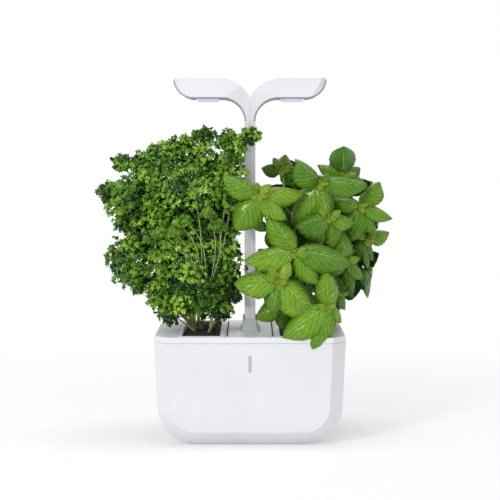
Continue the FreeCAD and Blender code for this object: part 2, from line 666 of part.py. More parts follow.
def make_grow_tray(side):
    """A drop-in tray: flat rim on the deck, drafted walls, a wick slot and drain holes."""
    centre = (side * TRAY_CENTRE, 0.0)
    rim_width = TRAY_MOUTH_WIDTH + 2 * TRAY_RIM
    rim_depth = TRAY_MOUTH_DEPTH + 2 * TRAY_RIM
    x = centre[0]
    rim = rounded_block(rim_width, rim_depth, TRAY_MOUTH_CORNER, TRAY_SEAT, TRAY_TOP, centre)
    top_edges = [e for e in rim.Edges if e.BoundBox.ZMin > TRAY_TOP - 0.01]
    rim = rim.makeChamfer(TRAY_RIM_PROUD, top_edges)
    body = tray_body(TRAY_WALL, TRAY_SEAT, TRAY_FLOOR_Z, side)
    hollow = tray_body(0.0, TRAY_SEAT, TRAY_FLOOR_Z + TRAY_WALL, side)
    mouth = bevelled_block(TRAY_MOUTH_WIDTH, TRAY_MOUTH_DEPTH, TRAY_MOUTH_CORNER, TRAY_SEAT, TRAY_TOP, centre)
    slot_x = WICK_WIDTH / 2 + WICK_CLEARANCE
    slot_y = WICK_THICKNESS / 2 + WICK_CLEARANCE
    floor_top = TRAY_FLOOR_Z + TRAY_WALL
    tools = [hollow, mouth, block(x - slot_x, x + slot_x, -slot_y, slot_y, TRAY_FLOOR_Z, floor_top)]
    pitch = TRAY_MOUTH_DEPTH / (DRAIN_COUNT + 1)
    for index in range(DRAIN_COUNT):
        y = (index - (DRAIN_COUNT - 1) / 2) * pitch
        tools.append(drain_slot(x, y, DRAIN_LENGTH, TRAY_FLOOR_Z, floor_top))
    return joined([rim, body]).cut(Part.Compound(tools))


def make_wick(side):
    """A felt wick folded over the tray's slot and hanging into the water."""
    x = side * TRAY_CENTRE
    half = WICK_WIDTH / 2
    floor_top = TRAY_FLOOR_Z + TRAY_WALL
    strip = block(x - half, x + half, -WICK_THICKNESS / 2, WICK_THICKNESS / 2, WICK_GROUND, floor_top)
    tab = block(x - half, x + half, -WICK_TAB / 2, WICK_TAB / 2, floor_top, floor_top + WICK_TAB_THICKNESS)
    return joined([strip, tab])


def make_mat(side):
    """The felt mat on the tray floor that feeds the whole pod."""
    margin = -MAT_CLEARANCE
    return tray_body(margin, MAT_Z + MAT_THICKNESS, MAT_Z, side)


def make_pod_tub(side):
    """The thin pod tub standing on the mat, with drain holes in its floor."""
    outer = tray_body(-POD_CLEARANCE, POD_TOP, POD_Z, side)
    inner = tray_body(-POD_CLEARANCE - POD_WALL, POD_TOP, POD_Z + POD_WALL, side)
    pitch = TRAY_MOUTH_DEPTH / (POD_DRAIN_COUNT + 1)
    x = side * TRAY_CENTRE
    drains = []
    for index in range(POD_DRAIN_COUNT):
        y = (index - (POD_DRAIN_COUNT - 1) / 2) * pitch
        drains.append(drain_slot(x, y, POD_DRAIN_LENGTH, POD_Z, POD_Z + POD_WALL))
    return outer.cut(Part.Compound([inner] + drains))


def make_substrate(side):
    """The soil block in the pod, with a low mound on top."""
    margin = -POD_CLEARANCE - POD_WALL - SOIL_CLEARANCE
    low = tray_body(margin, SOIL_TOP, POD_Z + POD_WALL, side)
    width = TRAY_MOUTH_WIDTH + 2 * margin
    depth = TRAY_MOUTH_DEPTH + 2 * margin
    fall = (TRAY_SEAT - SOIL_TOP) / TRAY_HEIGHT * TRAY_DRAFT
    mound = tapered_block([
        (width - 2 * (fall + SOIL_EDGE), depth - 2 * (fall + SOIL_EDGE), 0.0, SOIL_TOP),
        (width - 2 * SOIL_MOUND_SLOPE, depth - 2 * SOIL_MOUND_SLOPE, 0.0, SOIL_TOP + SOIL_MOUND),
    ], (side * TRAY_CENTRE, 0.0))
    return joined([low, mound])


# Lamp foot, well and stem

def foot_pegs(half, z0, z1):
    """The two square pegs before and behind the stem, between two levels."""
    return [block(-half, half, y - half, y + half, z0, z1) for y in (-PEG_Y, PEG_Y)]


def make_stem_foot():
    """The flared collar on the deck that guides the stem, with two pegs into the cover."""
    sections = [
        foot_section(FOOT_BASE_MARGIN, DECK_Z, FLARE_CORNER),
        foot_section(FOOT_BASE_MARGIN, DECK_Z + FOOT_LIP, FLARE_CORNER),
    ]
    waist = FOOT_COLLAR_WALL + COLLAR_TAPER
    for index in range(1, FLARE_STEPS + 1):
        share = index / FLARE_STEPS
        angle = math.pi / 2 * share
        margin = FOOT_BASE_MARGIN - (FOOT_BASE_MARGIN - waist) * math.sin(angle)
        rise = FOOT_LIP + (FOOT_FLARE - FOOT_LIP) * (1 - math.cos(angle))
        corner = FLARE_CORNER - (FLARE_CORNER - COLLAR_CORNER) * share
        sections.append(foot_section(margin, DECK_Z + rise, corner))
    sections.append(foot_section(FOOT_COLLAR_WALL, DECK_Z + FOOT_HEIGHT, COLLAR_CORNER))
    foot = tapered_block(sections)
    hole = tapered_block([
        foot_section(STEM_CLEARANCE, DECK_Z, STEM_EDGE),
        foot_section(STEM_CLEARANCE, DECK_Z + FOOT_HEIGHT, STEM_EDGE),
    ])
    tools = [hole] + glide_blocks(STEM_WIDTH / 2 + STEM_CLEARANCE, GLIDE_THICKNESS - GLIDE_PROUD)
    pegs = foot_pegs(PEG_WIDTH / 2, DECK_UNDER + TOUCH_GAP, DECK_Z)
    return joined([foot.cut(Part.Compound(tools))] + pegs)


def glide_blocks(inner_x, thickness):
    """Upright pads on both broad faces of the stem."""
    z0 = DECK_Z + (FOOT_HEIGHT - GLIDE_HEIGHT) / 2
    pads = []
    for side in (-1, 1):
        x0, x1 = sorted((side * inner_x, side * (inner_x + thickness)))
        pads.append(block(x0, x1, -GLIDE_LENGTH / 2, GLIDE_LENGTH / 2, z0, z0 + GLIDE_HEIGHT))
    return pads


def make_glides():
    """The two nylon pads in the collar that grip the stem."""
    return Part.Compound(glide_blocks(STEM_WIDTH / 2 + STEM_CLEARANCE - GLIDE_PROUD, GLIDE_THICKNESS))


def make_stem_well():
    """The closed well under the cover into which the stem sinks, with a dry cable way behind it."""
    flange = bevelled_block(FLANGE_WIDTH, FLANGE_DEPTH, FLARE_CORNER, LEDGE_Z, LEDGE_Z + WELL_FLANGE)
    shaft = bevelled_block(WELL_WIDTH, WELL_DEPTH, WELL_CORNER, WELL_FLOOR_Z, LEDGE_Z)
    conduit_half = CONDUIT_WIDTH / 2 + WELL_WALL
    conduit = block(-conduit_half, conduit_half, 0, CONDUIT_Y + WELL_WALL, WELL_FLOOR_Z, LEDGE_Z)
    inner_corner = WELL_CORNER - WELL_WALL
    floor_top = WELL_FLOOR_Z + WELL_WALL
    hollow = bevelled_block(WELL_INNER_WIDTH, WELL_INNER_DEPTH, inner_corner, floor_top, DECK_UNDER)
    way_half = CONDUIT_WIDTH / 2
    way = block(-way_half, way_half, WELL_DEPTH / 2, CONDUIT_Y, floor_top, LEDGE_Z - WELL_WALL)
    low_window = block(-way_half, way_half, WELL_INNER_DEPTH / 2 - CUT_THROUGH, WELL_DEPTH / 2 + CUT_THROUGH,
                       floor_top, floor_top + LOW_WINDOW)
    door = cable_door(CONDUIT_Y - CUT_THROUGH, CONDUIT_Y + WELL_WALL)
    well = joined([flange, shaft, conduit])
    return well.cut(Part.Compound([hollow, way, low_window, door]))


def cable_door(y0, y1):
    """The opening through which the lead passes between the well and the housing."""
    half = CONDUIT_WIDTH / 2
    return block(-half, half, y0, y1, DOOR_Z - CABLE_DOOR / 2, DOOR_Z + CABLE_DOOR / 2)


def make_stem_shoe():
    """The nylon shoe round the stem's end that guides it in the well and stops it pulling out."""
    top = DECK_UNDER - TOUCH_GAP
    outer = STEM_WIDTH + 2 * SHOE_WALL, STEM_DEPTH + 2 * SHOE_WALL
    sleeve = bevelled_block(outer[0], outer[1], SHOE_CORNER, top - SHOE_HEIGHT, top)
    core_width = STEM_WIDTH + 2 * SHOE_FIT
    core_depth = STEM_DEPTH + 2 * SHOE_FIT
    return sleeve.cut(bevelled_block(core_width, core_depth, STEM_EDGE, top - SHOE_HEIGHT, top))


def make_stem_end_plate():
    """The plate that closes the stem's lower end round the lead."""
    gap = STEM_WALL + END_PLATE_CLEARANCE
    x = STEM_WIDTH / 2 - gap
    y = STEM_DEPTH / 2 - gap
    top = STEM_BOTTOM + END_PLATE
    plate = block(-x, x, -y, y, STEM_BOTTOM, top)
    hole_radius = LAMP_CORE_RADIUS + END_PLATE_CLEARANCE
    return plate.cut(rod(hole_radius, Vector(0, COIL_Y, STEM_BOTTOM), Vector(0, COIL_Y, top)))


# Lamp

def profile_arc(centre, radius, start, end):
    """An arc in the front view, between two directions in degrees from +X towards +Z."""
    points = []
    for turn in (start, (start + end) / 2, end):
        angle = math.radians(turn)
        points.append(Vector(centre[0] + radius * math.cos(angle), 0, centre[1] + radius * math.sin(angle)))
    return Part.Arc(*points).toShape()


def chained(pieces):
    """A closed wire through arcs, with straight lines across the gaps between them."""
    edges = []
    for index, piece in enumerate(pieces):
        edges.append(piece)
        start = piece.Vertexes[-1].Point
        end = pieces[(index + 1) % len(pieces)].Vertexes[0].Point
        if (end - start).Length > 0.001:
            edges.append(Part.makeLine(start, end))
    return Part.Wire(edges)


def arm_profile(under_offset, top_offset):
    """The right arm's outline in the front view, moved inwards underneath and on top."""
    top_radius = TOP_BEND - top_offset
    top_start = math.degrees(math.acos(-TOP_BEND_START / top_radius))
    tip_x = TIP_X + ARM_THICKNESS * math.sin(math.radians(TIP_LIP_ANGLE)) + TIP_RAKE - top_offset
    top_z = LAMP_TOP - top_offset
    valley_z = TOP_BEND_Z + top_radius * math.sin(math.radians(top_start))
    return chained([
        profile_arc((BEND_X, BEND_Z), UNDER_BEND + under_offset, 180, 90),
        profile_arc((TIP_X, LAMP_TOP), ARM_THICKNESS - under_offset, -90, TIP_LIP_ANGLE - 90),
        Part.makeLine(Vector(tip_x, 0, top_z), Vector(TOP_BEND_START, 0, top_z)),
        profile_arc((TOP_BEND_START, TOP_BEND_Z), top_radius, 90, top_start),
        Part.makeLine(Vector(0, 0, valley_z), Vector(0, 0, BEND_Z)),
    ])


def arm_plan(inset, z0, z1):
    """The right arm seen from above: stem depth at the root, full depth at the lens, narrow at the tip."""
    stem = STEM_DEPTH / 2 - inset
    full = ARM_DEPTH / 2 - inset
    tip = full - TIP_NARROWING
    middle_x = (TIP_X + LAMP_HALF_SPAN) / 2
    middle = full - TIP_NARROWING * TIP_ROUNDING
    root_x = STEM_WIDTH / 2
    end_x = LAMP_HALF_SPAN + CUT_THROUGH
    rounding = Part.Arc(Vector(TIP_X, full, z0), Vector(middle_x, middle, z0), Vector(end_x, tip, z0))
    half = [
        Part.makeLine(Vector(0, stem, z0), Vector(root_x, stem, z0)),
        Part.makeLine(Vector(root_x, stem, z0), Vector(BEND_X, full, z0)),
        Part.makeLine(Vector(BEND_X, full, z0), Vector(TIP_X, full, z0)),
        rounding.toShape(),
    ]
    other = [edge.mirror(Vector(0, 0, 0), Vector(0, 1, 0)) for edge in half]
    ends = [
        Part.makeLine(Vector(end_x, tip, z0), Vector(end_x, -tip, z0)),
        Part.makeLine(Vector(0, -stem, z0), Vector(0, stem, z0)),
    ]
    outline = Part.Wire(Part.__sortEdges__(half + other + ends))
    return Part.Face(outline).extrude(Vector(0, 0, z1 - z0))


def arm_draft(inset):
    """The two sloping sides of the right arm, as a block that is narrower on top."""
    low = ARM_DEPTH / 2 - inset
    high = ARM_TOP_DEPTH / 2 - inset
    slope = (low - high) / ARM_THICKNESS
    foot = low + slope * (LAMP_UNDER - BEND_Z)
    top = LAMP_TOP + CUT_THROUGH
    reach = high - slope * CUT_THROUGH
    section = [(-foot, BEND_Z), (foot, BEND_Z), (reach, top), (-reach, top)]
    outline = Part.makePolygon(closed([Vector(0, y, z) for y, z in section]))
    return Part.Face(outline).extrude(Vector(LAMP_HALF_SPAN + CUT_THROUGH, 0, 0))


def sheet_of(profile, inset):
    """A front-view outline given the arm's plan and its sloping sides."""
    half = ARM_DEPTH / 2 - inset
    body = Part.Face(profile).extrude(Vector(0, 2 * half, 0))
    body.translate(Vector(0, -half, 0))
    body = body.common(arm_plan(inset, BEND_Z - CUT_THROUGH, LAMP_TOP + CUT_THROUGH))
    return body.common(arm_draft(inset)).removeSplitter()


def arm_solid(under_offset, top_offset, side_inset):
    """The whole right arm from the stem over the bend and along to the tip."""
    return sheet_of(arm_profile(under_offset, top_offset), side_inset)


def underside_solid():
    """The underside cover's full sheet, from the stem to the tip."""
    inner = UNDERSIDE_THICKNESS
    profile = chained([
        profile_arc((BEND_X, BEND_Z), UNDER_BEND, 180, 90),
        profile_arc((TIP_X, LAMP_TOP), ARM_THICKNESS, -90, TIP_LIP_ANGLE - 90),
        profile_arc((TIP_X, LAMP_TOP), ARM_THICKNESS - inner, TIP_LIP_ANGLE - 90, -90),
        profile_arc((BEND_X, BEND_Z), UNDER_BEND + inner, 90, 180),
    ])
    return sheet_of(profile, UNDERSIDE_INSET)


def stem_half(outer_x, outer_y, x_from, edge, z0, z1):
    """The right half of the stem's plan, extruded."""
    whole = rounded_block(2 * outer_x, 2 * outer_y, edge, z0, z1)
    return whole.common(block(x_from, outer_x, -outer_y, outer_y, z0, z1))


def make_lamp_shell():
    """The right lamp moulding: half of the stem and one leaf-shaped arm, open underneath."""
    outer = arm_solid(UNDERSIDE_THICKNESS, 0.0, 0.0)
    stem = stem_half(STEM_WIDTH / 2, STEM_DEPTH / 2, 0.0, STEM_EDGE, STEM_BOTTOM, BEND_Z)
    cavity = arm_solid(-CUT_THROUGH, ARM_WALL, ARM_WALL)
    bore_x = STEM_WIDTH / 2 - STEM_WALL
    bore = stem_half(bore_x, STEM_DEPTH / 2 - STEM_WALL, 0.0, STEM_INNER_EDGE, STEM_BOTTOM, BEND_Z)
    shell = joined([outer, stem]).cut(Part.Compound([cavity, bore]))
    grooves = []
    for side in (-1, 1):
        y = side * STEM_DEPTH / 2
        plan = ((0, y), (STEM_SEAM, y), (0, y - side * STEM_SEAM))
        corner = [Vector(px, py, STEM_BOTTOM) for px, py in plan]
        face = Part.Face(Part.makePolygon(corner + corner[:1]))
        grooves.append(face.extrude(Vector(0, 0, VALLEY_Z - STEM_BOTTOM)))
    return shell.cut(Part.Compound(grooves))


def make_lamp_underside():
    """The right underside cover, with the lens window."""
    top = LAMP_UNDER + UNDERSIDE_THICKNESS
    window = rounded_block(LENS_WIDTH, LENS_DEPTH, LENS_CORNER, LAMP_UNDER, top, (LENS_CENTRE, 0.0))
    return underside_solid().cut(window)


def lens_wall_block(z0, z1):
    """The plan of the right lens's wall and of the board on it, between two levels."""
    grown = 2 * (LENS_SHOULDER - LENS_CLEARANCE)
    return bevelled_block(LENS_WIDTH + grown, LENS_DEPTH + grown, LENS_CORNER, z0, z1, (LENS_CENTRE, 0.0))


def make_lens():
    """The right lens: a bevelled light window with a wall that carries the LED board."""
    centre = (LENS_CENTRE, 0.0)
    width = LENS_WIDTH - 2 * LENS_CLEARANCE
    depth = LENS_DEPTH - 2 * LENS_CLEARANCE
    base = LAMP_UNDER + UNDERSIDE_THICKNESS
    low = LAMP_UNDER - LENS_BULGE
    window = rounded_block(width, depth, LENS_CORNER, low, base, centre)
    low_edges = [e for e in window.Edges if e.BoundBox.ZMax < low + 0.01]
    window = window.makeChamfer(LENS_BEVEL, low_edges)
    wall = lens_wall_block(base, BOARD_Z)
    skin = 2 * LENS_WALL
    inner = bevelled_block(width - skin, depth - skin, LENS_CORNER - LENS_WALL, LAMP_UNDER, BOARD_Z, centre)
    return joined([window, wall]).cut(inner)


def make_led_board():
    """The right LED board on the lens wall."""
    return lens_wall_block(BOARD_Z, SINK_Z)


def make_leds():
    """The LED packages in rows under the right board."""
    leds = []
    half = LED_WIDTH / 2
    room_x = LENS_WIDTH - 2 * LENS_CORNER
    room_y = LENS_DEPTH - 2 * LENS_CORNER
    for column in range(LED_COLUMNS):
        for row in range(LED_ROWS):
            x = LENS_CENTRE + (column / (LED_COLUMNS - 1) - 0.5) * room_x
            y = (row / (LED_ROWS - 1) - 0.5) * room_y
            leds.append(block(x - half, x + half, y - half, y + half, BOARD_Z - LED_HEIGHT, BOARD_Z))
    return Part.Compound(leds)


def make_heat_sink():
    """The right finned heat sink on the LED board."""
    width = LENS_WIDTH
    depth = LENS_DEPTH - LENS_CORNER
    x0 = LENS_CENTRE - width / 2
    base = block(x0, x0 + width, -depth / 2, depth / 2, SINK_Z, SINK_Z + SINK_BASE)
    pitch = (width - SINK_FIN_THICKNESS) / (SINK_FINS - 1)
    fins = [block(x0 + i * pitch, x0 + i * pitch + SINK_FIN_THICKNESS, -depth / 2, depth / 2,
                  SINK_Z + SINK_BASE, SINK_Z + SINK_BASE + SINK_FIN_HEIGHT) for i in range(SINK_FINS)]
    return joined([base] + fins)


def flat_lead(width, thickness, bend, points):
    """A flat lead along straight runs joined by tangent arcs of one radius."""
    edges = []
    start = points[0]
    for index in range(1, len(points) - 1):
        before = (points[index] - points[index - 1]).normalize()
        after = (points[index + 1] - points[index]).normalize()
        turn = before.getAngle(after)
        back = bend * math.tan(turn / 2)
        enter = points[index] - before * back
        leave = points[index] + after * back
        inward = (after - before).normalize()
        centre = points[index] + inward * (bend / math.cos(turn / 2))
        edges.append(Part.makeLine(start, enter))
        edges.append(Part.Arc(enter, centre - inward * bend, leave).toShape())
        start = leave
    edges.append(Part.makeLine(start, points[-1]))
    path = Part.Wire(edges)
    along = (points[1] - points[0]).normalize()
    inward = (points[2] - points[1]).normalize()
    across = along.cross(inward)
    corners = [points[0] + across * (sx * width / 2) + inward * (sy * thickness / 2)
               for sx, sy in ((-1, -1), (1, -1), (1, 1), (-1, 1))]
    lead = path.makePipeShell([Part.makePolygon(closed(corners))], True, False)
    expected = width * thickness * path.Length
    if abs(lead.Volume - expected) > 0.02 * expected:
        raise ValueError("a lead doesn't have its section times its length")
    return lead


def make_lamp_lead():
    """The lead inside the stem, with a flat branch to each arm's heat sink."""
    split_z = BEND_Z + BRANCH_BEND
    core = rod(LAMP_CORE_RADIUS, Vector(0, COIL_Y, STEM_BOTTOM), Vector(0, COIL_Y, split_z))
    sink_x = LENS_CENTRE - LENS_WIDTH / 2
    level = SINK_Z + SINK_BASE / 2
    x = BRANCH_THICKNESS / 2 + BRANCH_GAP
    route = [Vector(x, COIL_Y, split_z), Vector(x, COIL_Y, level), Vector(sink_x, COIL_Y, level)]
    branch = flat_lead(BRANCH_WIDTH, BRANCH_THICKNESS, BRANCH_BEND, route)
    return Part.Compound([core, branch, mirrored(branch)])


def make_supply_lead():
    """The lead from its plug on the control board down the cable way to the foot of the well."""
    way_y = (WELL_DEPTH / 2 + CONDUIT_Y) / 2
    level = LEAD_FLOOR_Z - LEAD_THICKNESS / 2 + TOUCH_GAP
    return flat_lead(LEAD_WIDTH, LEAD_THICKNESS, LEAD_BEND, [
        Vector(0, PLUG_Y, DOOR_Z),
        Vector(0, way_y, DOOR_Z),
        Vector(0, way_y, level),
        Vector(0, COIL_Y, level),
    ])


def make_coil_lead():
    """The space of the coiled lead that stretches as the stem rises."""
    low = LEAD_FLOOR_Z + TOUCH_GAP
    return rod(COIL_RADIUS, Vector(0, COIL_Y, low), Vector(0, COIL_Y, STEM_BOTTOM))


# Electronics

def make_power_housing():
    """The open-topped housing under the cover, whose nose shows in the tank's back wall."""
    half = HOUSING_WIDTH / 2
    wall = HOUSING_WALL
    nose_top = RIM_Z - TOUCH_GAP
    main = block(-half, half, HOUSING_Y, HOUSING_SHOULDER, HOUSING_Z, DECK_UNDER)
    nose = block(-half, half, HOUSING_SHOULDER, HOUSING_BACK, HOUSING_Z, nose_top)
    room = half - wall
    inside = block(-room, room, HOUSING_Y + wall, HOUSING_BACK - wall, HOUSING_Z + wall, DECK_UNDER)
    jack_start = Vector(0, JACK_BACK, JACK_Z)
    jack_hole = rod(JACK_BARREL_RADIUS + JACK_CLEARANCE, jack_start, Vector(0, HOUSING_BACK, JACK_Z))
    door = cable_door(HOUSING_Y, HOUSING_Y + wall)
    shell = joined([main, nose]).cut(Part.Compound([inside, jack_hole, door]))
    floor_top = HOUSING_Z + wall
    post_x = PCB_WIDTH / 2 - PCB_POST_WIDTH
    posts = []
    for x0 in (-post_x - PCB_POST_WIDTH, post_x):
        for y0 in (PCB_BACK - PCB_LENGTH, PCB_BACK - PCB_POST_WIDTH):
            y1 = y0 + PCB_POST_WIDTH
            posts.append(block(x0, x0 + PCB_POST_WIDTH, y0, y1, floor_top, floor_top + PCB_POST))
    return joined([shell] + posts)


def make_control_board():
    """The control board on its posts, with the plug of the supply lead."""
    half = PCB_WIDTH / 2
    board = block(-half, half, PCB_BACK - PCB_LENGTH, PCB_BACK, PCB_Z, PCB_TOP)
    plug_x = PLUG_WIDTH / 2
    plug = block(-plug_x, plug_x, PLUG_Y, PLUG_Y + PLUG_LENGTH, PCB_TOP, PCB_TOP + PLUG_HEIGHT)
    return joined([board, plug])


def make_power_jack():
    """The barrel inlet: body, hollow barrel and centre pin."""
    half = JACK_WIDTH / 2
    body = block(-half, half, JACK_BACK - JACK_LENGTH, JACK_BACK, PCB_TOP, PCB_TOP + JACK_HEIGHT)
    face = Vector(0, HOUSING_BACK, JACK_Z)
    bore_end = face - Vector(0, JACK_BORE_DEPTH, 0)
    barrel = rod(JACK_BARREL_RADIUS, Vector(0, JACK_BACK, JACK_Z), face)
    bore = rod(JACK_BORE_RADIUS, bore_end, face)
    pin = rod(JACK_PIN_RADIUS, bore_end, face - Vector(0, JACK_PIN_SETBACK, 0))
    return joined([joined([body, barrel]).cut(bore), pin])


def make_light_button():
    """The round light button with its retaining flange and stalk."""
    top = DECK_Z + BUTTON_PROUD
    shoulder = Vector(0, BUTTON_Y, top - BUTTON_BEVEL)
    cap = rod(BUTTON_RADIUS, Vector(0, BUTTON_Y, BUTTON_FLANGE_Z + BUTTON_FLANGE), shoulder)
    bevel = Part.makeCone(BUTTON_RADIUS, BUTTON_RADIUS - BUTTON_BEVEL, BUTTON_BEVEL, shoulder)
    half = BUTTON_FLANGE_WIDTH / 2
    flange_top = BUTTON_FLANGE_Z + BUTTON_FLANGE
    flange = block(-half, half, BUTTON_Y - half, BUTTON_Y + half, BUTTON_FLANGE_Z, flange_top)
    stalk_low = PCB_TOP + DOME_HEIGHT + TOUCH_GAP
    stalk_half = BUTTON_STALK / 2
    stalk_y = BUTTON_Y - stalk_half
    stalk = block(-stalk_half, stalk_half, stalk_y, stalk_y + BUTTON_STALK, stalk_low, BUTTON_FLANGE_Z)
    return joined([cap, bevel, flange, stalk])


def make_switch_dome():
    """The rubber dome on the board that springs the button back."""
    return tapered_block([
        (DOME_WIDTH, DOME_WIDTH, 0.0, PCB_TOP),
        (DOME_TOP_WIDTH, DOME_TOP_WIDTH, 0.0, PCB_TOP + DOME_HEIGHT),
    ], (0.0, BUTTON_Y))


# Plants

def ring_points(centre, direction, radius, sides):
    """Points of a regular polygon square to a direction."""
    axis = Vector(direction).normalize()
    across = Vector(1, 0, 0) - axis * axis.x
    if across.Length < 0.2:
        across = Vector(0, 1, 0) - axis * axis.y
    across.normalize()
    other = axis.cross(across)
    points = []
    for index in range(sides):
        angle = 2 * math.pi * index / sides
        points.append(centre + across * (radius * math.cos(angle)) + other * (radius * math.sin(angle)))
    return points


def faceted(points, faces):
    """A closed solid from corner points and the corner numbers of each flat face."""
    flats = [Part.Face(Part.makePolygon([points[i] for i in face + face[:1]])) for face in faces]
    solid = Part.Solid(Part.makeShell(flats))
    if solid.Volume < 0:
        solid.reverse()
    return solid


def twig(route, radii):
    """A faceted stalk through the points of a route, level at its start and thinning to its end."""
    rings = []
    last = len(route) - 1
    for index, centre in enumerate(route):
        direction = route[min(index + 1, last)] - route[index - 1] if index else Vector(0, 0, 1)
        radius = radii[0] + (radii[1] - radii[0]) * index / last
        rings.append(Part.makePolygon(closed(ring_points(centre, direction, radius, STALK_SIDES))))
    return Part.makeLoft(rings, True, True)


def leaf_frame(facing, turn, lean):
    """The direction and the upper-side normal of a leaf, seen by someone looking at its whorl."""
    f = math.radians(facing)
    viewer = Vector(math.sin(f), -math.cos(f), 0)
    right = Vector(math.cos(f), math.sin(f), 0)
    up = Vector(0, 0, 1)
    t = math.radians(turn)
    rise = math.radians(lean)
    direction = (right * math.cos(t) + up * math.sin(t)) * math.cos(rise) + viewer * math.sin(rise)
    normal = viewer * 0.8 + up * 0.6
    normal = normal - direction * normal.dot(direction)
    return direction, normal.normalize()


def basil_leaf(base, facing, turn, length, width, lean):
    """One cupped basil leaf: pointed at both ends, thickest along the midrib, its tip arching over."""
    direction, normal = leaf_frame(facing, turn, lean)
    across = normal.cross(direction)

    def rib(share, lift):
        return base + direction * (share * length) + normal * (lift - LEAF_ARCH * length * share ** 2)

    points = [rib(0, 0), rib(1, 0)]
    for share, half in LEAF_RIBS:
        edge_lift = LEAF_CUP * width
        points.append(rib(share, edge_lift) + across * (half * width))
        points.append(rib(share, edge_lift) - across * (half * width))
        points.append(rib(share, LEAF_THICKNESS / 2))
        points.append(rib(share, -LEAF_THICKNESS / 2))
    start, tip, left0, right0, top0, low0, left1, right1, top1, low1 = range(10)
    faces = []
    for left_a, left_b, mid_a, mid_b in (
        (left0, left1, top0, top1), (right0, right1, top0, top1),
        (left0, left1, low0, low1), (right0, right1, low0, low1),
    ):
        faces += [[start, left_a, mid_a], [left_a, left_b, mid_b]]
        faces += [[left_a, mid_b, mid_a], [left_b, tip, mid_b]]
    return faceted(points, faces)


def soil_root(side, x, y):
    """The point where the stalk of something at (x, y) leaves the soil."""
    middle = side * TRAY_CENTRE
    reach_x = (TRAY_MOUTH_WIDTH / 2 - POD_CLEARANCE - POD_WALL - SOIL_MOUND_SLOPE) * ROOT_REACH_X
    reach_y = (TRAY_MOUTH_DEPTH / 2 - POD_CLEARANCE - POD_WALL - SOIL_MOUND_SLOPE) * ROOT_REACH_Y
    root_x = middle + max(-reach_x, min(reach_x, ROOT_PULL_X * (x - middle)))
    root_y = max(-reach_y, min(reach_y, ROOT_PULL_Y * y))
    return Vector(root_x, root_y, SOIL_TOP + SOIL_MOUND)


def stalk_route(side, top):
    """Root, split point and bend of a stalk that rises steeply and then leans out to its top."""
    root = soil_root(side, top.x, top.y)
    rise = (STALK_TOP - root.z) / max(top.z - root.z, 1.0)
    lean = STALK_LEAN * min(rise, 1.0)
    split = Vector(root.x + (top.x - root.x) * lean, root.y + (top.y - root.y) * lean, STALK_TOP)
    bend = (split + top) * 0.5 + Vector(0, 0, STALK_BOW * (top.z - STALK_TOP))
    return root, split, bend


def lower_stalk(route, radius):
    """The part of a stalk between the soil and the foliage, level at both ends."""
    up = Vector(0, 0, 1)
    rings = [Part.makePolygon(closed(ring_points(p, up, radius, STALK_SIDES))) for p in route[:2]]
    return Part.makeLoft(rings, True, True)


